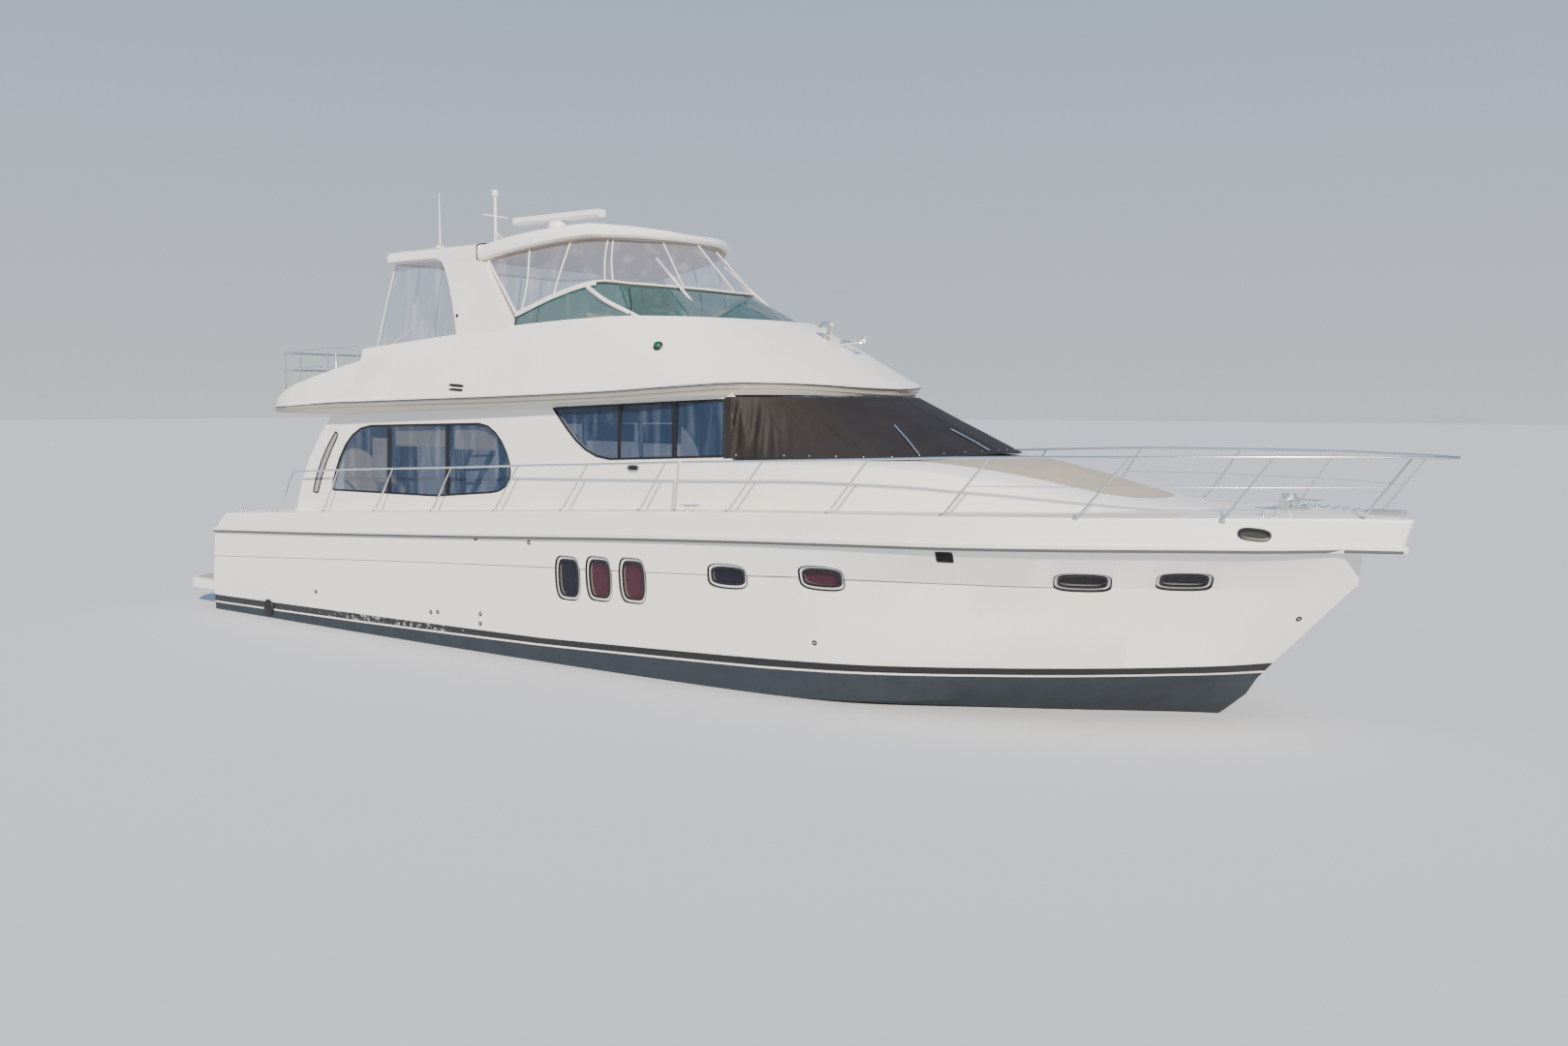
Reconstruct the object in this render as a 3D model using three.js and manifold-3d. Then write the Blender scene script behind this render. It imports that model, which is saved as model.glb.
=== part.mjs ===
// A motor yacht with an enclosed pilothouse and a covered flybridge, afloat.
// Millimetres. +X points to the bow, +Y to port and +Z up. Lengths are measured from the transom and
// heights from the waterline; at the end the boat is moved so that the origin lies amidships.
import * as THREE from 'three';
import { mergeVertices } from 'three/addons/utils/BufferGeometryUtils.js';
import Module from 'manifold-3d';

const wasm = await Module();
wasm.setup();

// Driving dimensions
const AMIDSHIPS = 8000;
const GAP = 0.3;
const HULL_STEPS = 44;
const COCKPIT_SOLE = 950;
const CABIN_SOLE = 1000;
const SOLE_THICKNESS = 50;
const HOUSE_HALF_BREADTH = 1950;
const HOUSE_WALL = 60;
const HOUSE_FRONT = 10060;
const WALL_TOP = 3330;
const BULKHEAD = { x: 2950, thickness: 60 };
const PLATFORM = { aft: -1170, front: 10, half: 2020, low: 270, high: 420, corner: 420 };
const RAIL_RADIUS = 15;
const SHAFT = { x: 1000, y: 950, z: -900, angle: THREE.MathUtils.degToRad(11), radius: 32 };
const PROPELLER_RADIUS = 355;
const RUDDER = { x: 330, y: 950, top: -500, bottom: -1300, stock: 32 };

// Lines of the hull from transom to stem as [x, half breadth, z], the same stations in each line
const HULL_LINES = {
  keel: [[-20, 0, -620], [3000, 0, -720], [6000, 0, -800], [9000, 0, -850], [10700, 0, -830],
    [11700, 0, -770], [12700, 0, -650], [13600, 0, -480], [14400, 0, -260], [15000, 0, -30],
    [15330, 0, 240]],
  chine: [[-35, 2120, -120], [3000, 2185, -120], [6000, 2210, -100], [9000, 2160, -60], [10700, 2080, -5],
    [11750, 1930, 40], [12750, 1540, 110], [13700, 1090, 190], [14500, 640, 280], [15080, 270, 350],
    [15430, 20, 410]],
  side: [[-20, 2155, 480], [3000, 2225, 490], [6000, 2262, 500], [9000, 2245, 510], [10700, 2190, 520],
    [11800, 2070, 530], [12850, 1780, 540], [13800, 1350, 550], [14630, 860, 560], [15220, 420, 570],
    [15580, 25, 580]],
  knuckle: [[0, 2145, 840], [3000, 2222, 1000], [6000, 2275, 1145], [9000, 2300, 1270], [10700, 2265, 1340],
    [11800, 2180, 1375], [12950, 1950, 1395], [13950, 1590, 1405], [14850, 1120, 1415], [15620, 610, 1425],
    [16370, 45, 1440]],
  sheer: [[0, 2120, 1240], [3000, 2205, 1370], [6000, 2265, 1510], [9000, 2320, 1660], [10700, 2335, 1730],
    [11850, 2322, 1770], [13050, 2205, 1800], [14120, 1890, 1825], [15050, 1440, 1840], [15800, 960, 1842],
    [16330, 420, 1838]],
};

// Deck edge as [x, half breadth, z], from the stern to the tip of the pulpit
const DECK_EDGE = [
  [250, 2105, 1510], [3000, 2190, 1665], [6000, 2250, 1815], [9000, 2305, 1965], [10700, 2322, 2035],
  [11850, 2312, 2070], [13050, 2200, 2100], [14120, 1890, 2122], [15050, 1440, 2135], [15800, 960, 2140],
  [16400, 470, 2138], [16600, 340, 2135], [16770, 200, 2128], [16870, 60, 2120],
];
const PULPIT_JOINT = [[16520, 320, 1836], [16680, 190, 1830], [16775, 60, 1822]];

// Foredeck trunk as [x, base half breadth, shoulder half breadth, shoulder z, crown z]
const TRUNK = [
  [10060, 1900, 1885, 2575, 2605], [11200, 1880, 1800, 2585, 2625], [12250, 1770, 1590, 2560, 2630],
  [12660, 1690, 1450, 2510, 2610], [13270, 1560, 1240, 2400, 2525], [13840, 1400, 1020, 2290, 2385],
  [14490, 1130, 740, 2190, 2235], [15000, 820, 480, 2152, 2175], [15250, 600, 300, 2138, 2148],
];

// Flybridge outline from the stern centre to the bow centre, each point as [x, half breadth, z].
// Columns: underside of the brow, top of the brow band, coaming top outside, coaming top inside
const BRIDGE_COLUMNS = ['low', 'high', 'outer', 'inner'];
const FLYBRIDGE = [
  [[1380, 0, 3075], [1420, 0, 3155], [1450, 0, 3280], [1550, 0, 3280]],
  [[1395, 1560, 3075], [1435, 1570, 3155], [1465, 1540, 3280], [1565, 1480, 3280]],
  [[1450, 1960, 3072], [1495, 1980, 3155], [1545, 1930, 3300], [1640, 1830, 3300]],
  [[1800, 2070, 3068], [1800, 2120, 3170], [1880, 2035, 3425], [1920, 1925, 3425]],
  [[3050, 2080, 3050], [3050, 2140, 3230], [3050, 2020, 3700], [3050, 1910, 3700]],
  [[3560, 2080, 3068], [3560, 2140, 3242], [3560, 1985, 3803], [3560, 1875, 3803]],
  [[3620, 2080, 3070], [3620, 2140, 3243], [3585, 1970, 3965], [3585, 1860, 3965]],
  [[5500, 2080, 3140], [5500, 2140, 3287], [5500, 1890, 4120], [5500, 1780, 4120]],
  [[6600, 2080, 3180], [6600, 2135, 3313], [6500, 1855, 4200], [6500, 1745, 4200]],
  [[8240, 2060, 3240], [8240, 2110, 3365], [8150, 1740, 4265], [8080, 1600, 4255]],
  [[9400, 2010, 3285], [9400, 2065, 3425], [8780, 1480, 4258], [8400, 1300, 4235]],
  [[10100, 1830, 3310], [10130, 1885, 3462], [9170, 1090, 4248], [8560, 900, 4230]],
  [[10620, 1220, 3312], [10670, 1250, 3450], [9450, 590, 4238], [8640, 450, 4230]],
  [[10940, 630, 3300], [11000, 640, 3415], [9540, 300, 4234], [8660, 220, 4230]],
  [[11080, 0, 3295], [11140, 0, 3400], [9570, 0, 4232], [8665, 0, 4230]],
];
const COAMING_STEP = 6;

// Materials: colour, roughness and metalness
const FINISH = {
  gelcoat: [0xf2f1ec, 0.22, 0],
  nonskid: [0xb9b2a4, 0.8, 0],
  rubber: [0xd9d8d2, 0.5, 0],
  glass: [0x1d2f45, 0.06, 0],
  acrylic: [0x2f6f6c, 0.08, 0],
  vinyl: [0xd6dde2, 0.15, 0],
  canvas: [0x151517, 0.9, 0],
  steel: [0xd8dadc, 0.18, 1],
  bronze: [0xb08d57, 0.35, 1],
  iron: [0x8f9498, 0.5, 1],
  upholstery: [0xe9e4d6, 0.65, 0],
  carpet: [0xb7a98e, 0.95, 0],
  plastic: [0xe6e6e2, 0.4, 0],
  dark: [0x2a2c30, 0.5, 0],
};

const boat = new THREE.Group();
boat.position.x = -AMIDSHIPS;

function add(name, finish, geometry) {
  const [color, roughness, metalness] = FINISH[finish];
  const mesh = new THREE.Mesh(geometry, new THREE.MeshStandardMaterial({ color, roughness, metalness }));
  mesh.name = name;
  boat.add(mesh);
  return mesh;
}

// Shared shape tools

function fromArrays(positions, triangles) {
  const geometry = new THREE.BufferGeometry();
  geometry.setAttribute('position', new THREE.Float32BufferAttribute(positions, 3));
  geometry.setIndex(triangles);
  return geometry;
}

function volume(positions, triangles) {
  const corner = (i) => new THREE.Vector3(positions[3 * i], positions[3 * i + 1], positions[3 * i + 2]);
  let sum = 0;
  for (let i = 0; i < triangles.length; i += 3) {
    const [a, b, c] = [corner(triangles[i]), corner(triangles[i + 1]), corner(triangles[i + 2])];
    sum += a.dot(b.cross(c));
  }
  return sum / 6;
}

function facingOut(positions, triangles) {
  if (volume(positions, triangles) < 0) triangles.reverse();
  return fromArrays(positions, triangles);
}

function welder() {
  const positions = [];
  const triangles = [];
  const known = new Map();
  const vertex = (p) => {
    const key = p.map((value) => Math.round(value * 100)).join();
    if (!known.has(key)) {
      known.set(key, positions.length / 3);
      positions.push(...p);
    }
    return known.get(key);
  };
  const triangle = (a, b, c) => {
    if (a !== b && b !== c && c !== a) triangles.push(a, b, c);
  };
  const quad = (a, b, c, d) => {
    triangle(a, b, c);
    triangle(a, c, d);
  };
  return { positions, triangles, vertex, triangle, quad };
}

// A closed body through outlines that are mirrored port to starboard. Each half outline goes from the
// centreline round the starboard side and back to the centreline. A looped loft joins its last
// outline to its first and has no ends.
function symmetricLoft(halves, looped = false) {
  const weld = welder();
  const rings = halves.map((half) => [
    ...half.map(([x, y, z]) => weld.vertex([x, -y, z])),
    ...half.slice().reverse().map(([x, y, z]) => weld.vertex([x, y, z])),
  ]);
  const count = rings[0].length;
  const spans = looped ? rings.length : rings.length - 1;
  for (let i = 0; i < spans; i += 1) {
    const [near, far] = [rings[i], rings[(i + 1) % rings.length]];
    for (let k = 0; k < count; k += 1) {
      const next = (k + 1) % count;
      if (k < count / 2) weld.quad(near[k], near[next], far[next], far[k]);
      else weld.quad(near[next], far[next], far[k], near[k]);
    }
  }
  if (!looped) {
    const [first, last] = [rings[0], rings[rings.length - 1]];
    for (let j = 0; j < count / 2 - 1; j += 1) {
      weld.quad(first[j + 1], first[j], first[count - 1 - j], first[count - 2 - j]);
      weld.quad(last[j], last[j + 1], last[count - 2 - j], last[count - 1 - j]);
    }
  }
  return facingOut(weld.positions, weld.triangles);
}

// A closed sheet of even thickness on one side of a grid of points
function panel(grid, thickness) {
  const rows = grid.length;
  const columns = grid[0].length;
  const within = (i, count) => Math.min(Math.max(i, 0), count - 1);
  const at = (r, c) => new THREE.Vector3(...grid[within(r, rows)][within(c, columns)]);
  const weld = welder();
  const faces = [0, thickness].map((offset) => grid.map((row, r) => row.map((p, c) => {
    const along = at(r, c + 1).sub(at(r, c - 1));
    const up = at(r + 1, c).sub(at(r - 1, c));
    const normal = along.cross(up).normalize().multiplyScalar(offset);
    return weld.vertex(at(r, c).add(normal).toArray());
  })));
  const [front, back] = faces;
  const end = columns - 1;
  for (let r = 0; r < rows - 1; r += 1) {
    for (let c = 0; c < columns - 1; c += 1) {
      weld.quad(front[r][c], front[r][c + 1], front[r + 1][c + 1], front[r + 1][c]);
      weld.quad(back[r][c], back[r + 1][c], back[r + 1][c + 1], back[r][c + 1]);
    }
    weld.quad(front[r][0], front[r + 1][0], back[r + 1][0], back[r][0]);
    weld.quad(front[r + 1][end], front[r][end], back[r][end], back[r + 1][end]);
  }
  for (let c = 0; c < columns - 1; c += 1) {
    weld.quad(front[0][c + 1], front[0][c], back[0][c], back[0][c + 1]);
    weld.quad(front[rows - 1][c], front[rows - 1][c + 1], back[rows - 1][c + 1], back[rows - 1][c]);
  }
  return facingOut(weld.positions, weld.triangles);
}

// The same body with its corners shared and nothing but its points kept
function welded(geometry) {
  const bare = geometry.clone();
  bare.deleteAttribute('normal');
  bare.deleteAttribute('uv');
  return mergeVertices(bare, 0.001);
}

function toSolid(geometry) {
  const { attributes, index } = welded(geometry);
  return new wasm.Manifold(new wasm.Mesh({
    numProp: 3,
    vertProperties: Float32Array.from(attributes.position.array),
    triVerts: Uint32Array.from(index.array),
  }));
}

function fromSolid(solid) {
  const mesh = solid.getMesh();
  return fromArrays(Array.from(mesh.vertProperties), Array.from(mesh.triVerts));
}

function cut(body, ...tools) {
  return fromSolid(tools.reduce((rest, tool) => rest.subtract(toSolid(tool)), toSolid(body)));
}

function join(body, ...others) {
  return fromSolid(others.reduce((whole, other) => whole.add(toSolid(other)), toSolid(body)));
}

function moved(geometry, x, y, z) {
  return geometry.clone().translate(x, y, z);
}

function toPort(geometry) {
  const mirrored = welded(geometry).scale(1, -1, 1);
  mirrored.setIndex(Array.from(mirrored.index.array).reverse());
  return mirrored;
}

function block(x0, x1, y0, y1, z0, z1) {
  return new THREE.BoxGeometry(x1 - x0, y1 - y0, z1 - z0)
    .translate((x0 + x1) / 2, (y0 + y1) / 2, (z0 + z1) / 2);
}

// A flat shape drawn in x and z, standing between two y values
function upright(shape, y0, y1, curveSegments = 6) {
  const geometry = new THREE.ExtrudeGeometry(shape, { depth: y1 - y0, bevelEnabled: false, curveSegments });
  return geometry.rotateX(Math.PI / 2).translate(0, y1, 0);
}

// A flat shape drawn in x and y, lying between two z values
function lying(shape, z0, z1, curveSegments = 8) {
  return new THREE.ExtrudeGeometry(shape, { depth: z1 - z0, bevelEnabled: false, curveSegments })
    .translate(0, 0, z0);
}

// A flat shape drawn in y and z, running between two x values
function lengthwise(shape, x0, x1, curveSegments = 8) {
  const geometry = new THREE.ExtrudeGeometry(shape, { depth: x1 - x0, bevelEnabled: false, curveSegments });
  return geometry.rotateX(Math.PI / 2).rotateZ(Math.PI / 2).translate(x0, 0, 0);
}

function polygon(points) {
  return new THREE.Shape(points.map(([u, v]) => new THREE.Vector2(u, v)));
}

function roundedRectangle(u0, u1, v0, v1, radius) {
  const shape = new THREE.Shape();
  shape.moveTo(u0 + radius, v0);
  shape.lineTo(u1 - radius, v0);
  shape.absarc(u1 - radius, v0 + radius, radius, -Math.PI / 2, 0);
  shape.lineTo(u1, v1 - radius);
  shape.absarc(u1 - radius, v1 - radius, radius, 0, Math.PI / 2);
  shape.lineTo(u0 + radius, v1);
  shape.absarc(u0 + radius, v1 - radius, radius, Math.PI / 2, Math.PI);
  shape.lineTo(u0, v0 + radius);
  shape.absarc(u0 + radius, v0 + radius, radius, Math.PI, 1.5 * Math.PI);
  return shape;
}

function ring(radius, sides) {
  const shape = new THREE.Shape();
  for (let i = 0; i < sides; i += 1) {
    const angle = (2 * Math.PI * i) / sides;
    const [u, v] = [radius * Math.cos(angle), radius * Math.sin(angle)];
    if (i === 0) shape.moveTo(u, v);
    else shape.lineTo(u, v);
  }
  return shape;
}

// A round bar through points, straight between them or along a fair curve
function bar(points, radius, { sides = 8, steps = 1, fair = false } = {}) {
  const corners = points.map((p) => new THREE.Vector3(...p));
  const path = fair
    ? new THREE.CatmullRomCurve3(corners, false, 'centripetal')
    : new THREE.LineCurve3(...corners);
  return new THREE.ExtrudeGeometry(ring(radius, sides), { extrudePath: path, steps, bevelEnabled: false });
}

// A cylinder or cone between two points
function rod(from, to, radius, { endRadius = radius, sides = 12 } = {}) {
  const [start, end] = [new THREE.Vector3(...from), new THREE.Vector3(...to)];
  const axis = end.clone().sub(start);
  const geometry = new THREE.CylinderGeometry(endRadius, radius, axis.length(), sides);
  const turn = new THREE.Quaternion()
    .setFromUnitVectors(new THREE.Vector3(0, 1, 0), axis.clone().normalize());
  return geometry.applyQuaternion(turn).translate(...start.add(end).multiplyScalar(0.5).toArray());
}

function faired(points, count) {
  const corners = points.map((p) => new THREE.Vector3(...p));
  const curve = new THREE.CatmullRomCurve3(corners, false, 'centripetal');
  return Array.from({ length: count + 1 }, (_, i) => curve.getPoint(i / count).toArray());
}

function between(a, b, share) {
  return a.map((value, i) => value + (b[i] - value) * share);
}

function heightAt(table, x) {
  const next = table.findIndex((row) => row[0] >= x);
  if (next < 0) return table[table.length - 1][1];
  if (next === 0) return table[0][1];
  const [a, b] = [table[next - 1], table[next]];
  return a[1] + ((b[1] - a[1]) * (x - a[0])) / (b[0] - a[0]);
}

// Hull and deck

function hullBody() {
  const BELLY = 25;
  const HOLLOW = 0.05;
  const { keel, chine, side, knuckle, sheer } = Object.fromEntries(
    Object.entries(HULL_LINES).map(([name, points]) => [name, faired(points, HULL_STEPS)]),
  );
  return symmetricLoft(keel.map((foot, i) => {
    const quarter = between(foot, chine[i], 0.5);
    const flare = between(side[i], knuckle[i], 0.5);
    const hollow = HOLLOW * (knuckle[i][1] - side[i][1]);
    return [
      foot,
      [quarter[0], quarter[1], quarter[2] - BELLY * Math.min(1, chine[i][1] / 1000)],
      chine[i],
      side[i],
      [flare[0], flare[1] - hollow, flare[2]],
      knuckle[i],
      sheer[i],
      [sheer[i][0], 0, sheer[i][2]],
    ];
  }));
}

// The joint between hull and deck, and the deck edge above it, with the same stations
const jointLine = [...faired(HULL_LINES.sheer, HULL_STEPS), ...PULPIT_JOINT];
const edgeLine = [
  ...faired(DECK_EDGE.slice(0, HULL_LINES.sheer.length), HULL_STEPS),
  ...DECK_EDGE.slice(HULL_LINES.sheer.length),
];

function deckBody() {
  const CAMBER = 35;
  return symmetricLoft(edgeLine.map(([x, y, z], i) => {
    const foot = [jointLine[i][0], jointLine[i][1], jointLine[i][2] + GAP];
    const inset = Math.min(30, y * 0.5);
    return [
      [foot[0], 0, foot[2]],
      foot,
      [x - 12, y, z - 30],
      [x, y - inset, z],
      [x, 0, z + CAMBER * Math.min(1, y / 1000)],
    ];
  }));
}

// The space inside the boat: the cockpit, the saloon and pilothouse, and the engine room below
const COCKPIT = { aft: 330, front: 2940, half: 1820 };
const CABIN = { front: 10000, half: 1820 };
const ENGINE_ROOM = { aft: 1900, front: 6400, half: 1200, floor: -240 };

const interior = [
  block(COCKPIT.aft, COCKPIT.front, -COCKPIT.half, COCKPIT.half, COCKPIT_SOLE - SOLE_THICKNESS, 2600),
  block(COCKPIT.front - 1, CABIN.front, -CABIN.half, CABIN.half, CABIN_SOLE - SOLE_THICKNESS, 2600),
  block(ENGINE_ROOM.aft, ENGINE_ROOM.front, -ENGINE_ROOM.half, ENGINE_ROOM.half, ENGINE_ROOM.floor, 1000),
];
const TRANSOM_GATE = { x: 270, y0: -1450, y1: -850, thickness: 45 };
const GATE_HINGE = { x: 340, y: -1444 };
const gateway = block(-200, COCKPIT.aft + 1, TRANSOM_GATE.y0, TRANSOM_GATE.y1, COCKPIT_SOLE, 2600);

const shaftLine = (distance) => [
  SHAFT.x + distance * Math.cos(SHAFT.angle),
  SHAFT.y,
  SHAFT.z + distance * Math.sin(SHAFT.angle),
];
const BEARING_GAP = 0.4;
const BORE_SIDES = 24;
const boreRadius = (radius) => (radius + BEARING_GAP) / Math.cos(Math.PI / BORE_SIDES);
const shaftTunnel = rod(shaftLine(1500), shaftLine(2950), SHAFT.radius + 14);
const stockBore = rod(
  [RUDDER.x, RUDDER.y, -700],
  [RUDDER.x, RUDDER.y, -150],
  boreRadius(RUDDER.stock),
  { sides: BORE_SIDES },
);
const hullCore = hullBody();
const bores = [shaftTunnel, stockBore].flatMap((bore) => [bore, toPort(bore)]);
add('hull', 'gelcoat', cut(hullCore, ...interior, gateway, ...bores));

// The deck is moulded in three: a side deck past the cockpit and the house on each side, and the foredeck
const deckCore = cut(deckBody(), moved(hullCore, 0, 0, GAP));
const ahead = block(CABIN.front, 18000, -3000, 3000, 1000, 3000);
const astern = block(-1000, CABIN.front + GAP, -3000, 3000, 1000, 3000);
const sideDecks = cut(deckCore, ...interior, gateway, ahead);
add('deck_starboard', 'gelcoat', cut(sideDecks, block(-1000, 18000, -1100, 3000, 1000, 3000)));
add('deck_port', 'gelcoat', cut(sideDecks, block(-1000, 18000, -3000, -1200, 1000, 3000)));
add('foredeck', 'gelcoat', cut(deckCore, astern));
const deckRaised = moved(deckCore, 0, 0, GAP);

function rubRail() {
  const HEIGHT = 64;
  const PROUD = 42;
  const line = [...jointLine, [16795, 0, 1821]];
  const away = line.map((p, i) => {
    if (i === line.length - 1) return [1, 0];
    const [a, b] = [line[Math.max(i - 1, 0)], line[Math.min(i + 1, line.length - 1)]];
    const length = Math.hypot(b[0] - a[0], b[1] - a[1]);
    return [-(b[1] - a[1]) / length, (b[0] - a[0]) / length];
  });
  const half = HEIGHT / 2;
  const section = [[2.6, -half], [PROUD * 0.8, -half], [PROUD, 0], [PROUD * 0.8, half], [GAP, half]];
  const outlines = section.map(([out, up]) => [
    [-60, 0, line[0][2] + up],
    [-60, line[0][1] + out, line[0][2] + up],
    ...line.map(([x, y, z], i) => [x + away[i][0] * out, Math.max(y + away[i][1] * out, 0), z + up]),
  ]);
  const behindTransom = block(-500, 14, -3000, 3000, 0, 3000);
  return cut(symmetricLoft(outlines, true), behindTransom, moved(deckCore, 0.5, 0, -GAP));
}
add('rub_rail', 'rubber', rubRail());

function swimPlatform() {
  const { aft, front, half, low, high, corner } = PLATFORM;
  const shape = new THREE.Shape();
  shape.moveTo(front, -half);
  shape.lineTo(front, half);
  shape.lineTo(aft + corner, half);
  shape.absarc(aft + corner, half - corner, corner, Math.PI / 2, Math.PI);
  shape.absarc(aft + corner, -half + corner, corner, Math.PI, 1.5 * Math.PI);
  const bracket = upright(polygon([[-900, 275], [10, 275], [10, 60], [-140, 60]]), -60, 60);
  const brackets = [-1400, 0, 1400].map((y) => moved(bracket, 0, y, 0));
  return cut(join(lying(shape, low, high), ...brackets), moved(hullCore, -GAP, 0, 0));
}
add('swim_platform', 'gelcoat', swimPlatform());

function trunkBody() {
  const BASE = 1900;
  const columns = [1, 2, 3, 4].map((k) => faired(TRUNK.map((row) => [row[0], row[k], 0]), 24));
  return symmetricLoft(columns[0].map(([x], i) => {
    const [base, shoulder, shoulderZ, crown] = columns.map((column) => column[i][1]);
    return [
      [x, 0, BASE],
      [x, base, BASE],
      [x, base - (base - shoulder) * 0.35, (BASE + shoulderZ) / 2 + 60],
      [x, shoulder + (base - shoulder) * 0.25, shoulderZ - 40],
      [x, shoulder - 70, shoulderZ + 12],
      [x, shoulder * 0.5, shoulderZ + (crown - shoulderZ) * 0.72],
      [x, 0, crown],
    ];
  }));
}
const trunk = cut(trunkBody(), deckRaised);
add('trunk', 'gelcoat', trunk);

// Deck house

const wallLean = (x, z) => {
  const tumblehome = 0.03 * (z - 1700);
  const taper = x > 8000 ? 40 * ((x - 8000) / 2060) ** 2 : 0;
  return tumblehome + taper;
};

function bentToWall(geometry, sign) {
  const place = geometry.attributes.position;
  for (let i = 0; i < place.count; i += 1) {
    const [x, y, z] = [place.getX(i), place.getY(i), place.getZ(i)];
    place.setXYZ(i, x, y - sign * wallLean(x, z), z);
  }
  return geometry;
}

// A line of the flybridge, faired aft and forward of the step in the coaming
function flybridgeLine(name) {
  const points = FLYBRIDGE.map((row) => row[BRIDGE_COLUMNS.indexOf(name)]);
  return [...faired(points.slice(0, COAMING_STEP), 14), ...faired(points.slice(COAMING_STEP), 22)];
}

function flybridgeOuter() {
  const [low, high, outer] = ['low', 'high', 'outer'].map(flybridgeLine);
  const under = low.map(([x, y, z]) => [x * 0.97 + 190, y * 0.93, z]);
  const shoulder = high.map((p, i) => {
    const mid = between(p, outer[i], 0.12);
    return [mid[0], mid[1] - 12 * Math.min(1, p[1] / 500), mid[2]];
  });
  const waist = high.map((p, i) => {
    const mid = between(p, outer[i], 0.55);
    return [mid[0], mid[1] + 25 * Math.min(1, p[1] / 500), mid[2] + 10];
  });
  return [under, low, high, shoulder, waist, outer];
}

const BRIDGE_SOLE = [[1500, 3180], [3050, 3180], [3700, 3195], [8600, 3400]];
function flybridgeBody() {
  const inner = flybridgeLine('inner');
  const sole = inner.map(([x, y]) => [
    Math.min(x + 20, 8560),
    Math.max(y - 40, 0),
    heightAt(BRIDGE_SOLE, x),
  ]);
  return symmetricLoft([...flybridgeOuter(), inner, sole]);
}

const flybridgeCore = symmetricLoft(flybridgeOuter());
const flybridgeRaised = moved(flybridgeCore, 0, 0, GAP);
const flybridgeLowered = moved(flybridgeCore, 0, 0, -GAP);
const BRIDGE_HATCH = { x0: 1850, x1: 2750, y0: 950, y1: 1600 };
const flybridge = cut(
  flybridgeBody(),
  block(BRIDGE_HATCH.x0, BRIDGE_HATCH.x1, BRIDGE_HATCH.y0, BRIDGE_HATCH.y1, 2900, 3400),
);
add('flybridge', 'gelcoat', flybridge);
const flybridgeLift = moved(flybridge, 0, 0, GAP);

function salonWindow(margin) {
  const m = margin;
  const shape = new THREE.Shape();
  shape.moveTo(2760 + m, 2010);
  shape.bezierCurveTo(2900 + m, 2450, 3150 + m, 2880 - m, 3640, 2895 - m);
  shape.lineTo(5880, 2945 - m);
  shape.bezierCurveTo(6250 - m, 2945 - m, 6490 - m, 2520, 6485 - m, 2330);
  shape.quadraticCurveTo(6470 - m, 2085 + m, 6120, 2055 + m);
  shape.lineTo(5040, 1968 + m);
  shape.lineTo(2820, 1962 + m);
  shape.quadraticCurveTo(2755 + m, 1962 + m, 2760 + m, 2010);
  return shape;
}

function pilothouseWindow(margin) {
  const m = margin;
  const shape = new THREE.Shape();
  shape.moveTo(7250 + m, 3150 - m);
  shape.bezierCurveTo(7500 + m, 2900, 7750 + m, 2550 + m, 8220, 2540 + m);
  shape.lineTo(9975 - m, 2615 + m);
  shape.lineTo(9985 - m, 3255 - m);
  shape.lineTo(7250 + m, 3150 - m);
  return shape;
}

function houseSide() {
  const wall = new THREE.Shape();
  wall.moveTo(1910, 1565);
  wall.lineTo(1910, 1640);
  wall.quadraticCurveTo(2060, 2400, 2770, 3060);
  wall.lineTo(2770, WALL_TOP);
  wall.lineTo(HOUSE_FRONT, WALL_TOP);
  wall.lineTo(HOUSE_FRONT, 1965);
  wall.lineTo(6000, 1775);
  const slab = upright(wall, -HOUSE_HALF_BREADTH, -HOUSE_HALF_BREADTH + HOUSE_WALL, 6);
  const openings = [salonWindow(0), pilothouseWindow(0)]
    .map((shape) => upright(shape, -HOUSE_HALF_BREADTH - 50, -HOUSE_HALF_BREADTH + HOUSE_WALL + 50));
  return cut(bentToWall(cut(slab, ...openings), -1), deckRaised, flybridgeLowered);
}
const houseStarboard = houseSide();
add('house_side_starboard', 'gelcoat', houseStarboard);
add('house_side_port', 'gelcoat', toPort(houseStarboard));

const paneOf = (shape) => bentToWall(
  upright(shape, -HOUSE_HALF_BREADTH + 6, -HOUSE_HALF_BREADTH + 16),
  -1,
);
const PANES = { salon_glass: salonWindow(GAP), pilothouse_glass: pilothouseWindow(GAP) };
Object.entries(PANES).forEach(([name, shape]) => {
  const pane = paneOf(shape);
  add(`${name}_starboard`, 'glass', welded(pane));
  add(`${name}_port`, 'glass', toPort(pane));
});

// Aft bulkhead of the saloon with the sill that its sliding door runs on
const DOOR = { y0: -650, y1: 150, z0: 1010, z1: 2900, frame: 70 };
const FIXED_PANE = { y0: 330, y1: 1080, z0: 1250, z1: 2860 };

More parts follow.
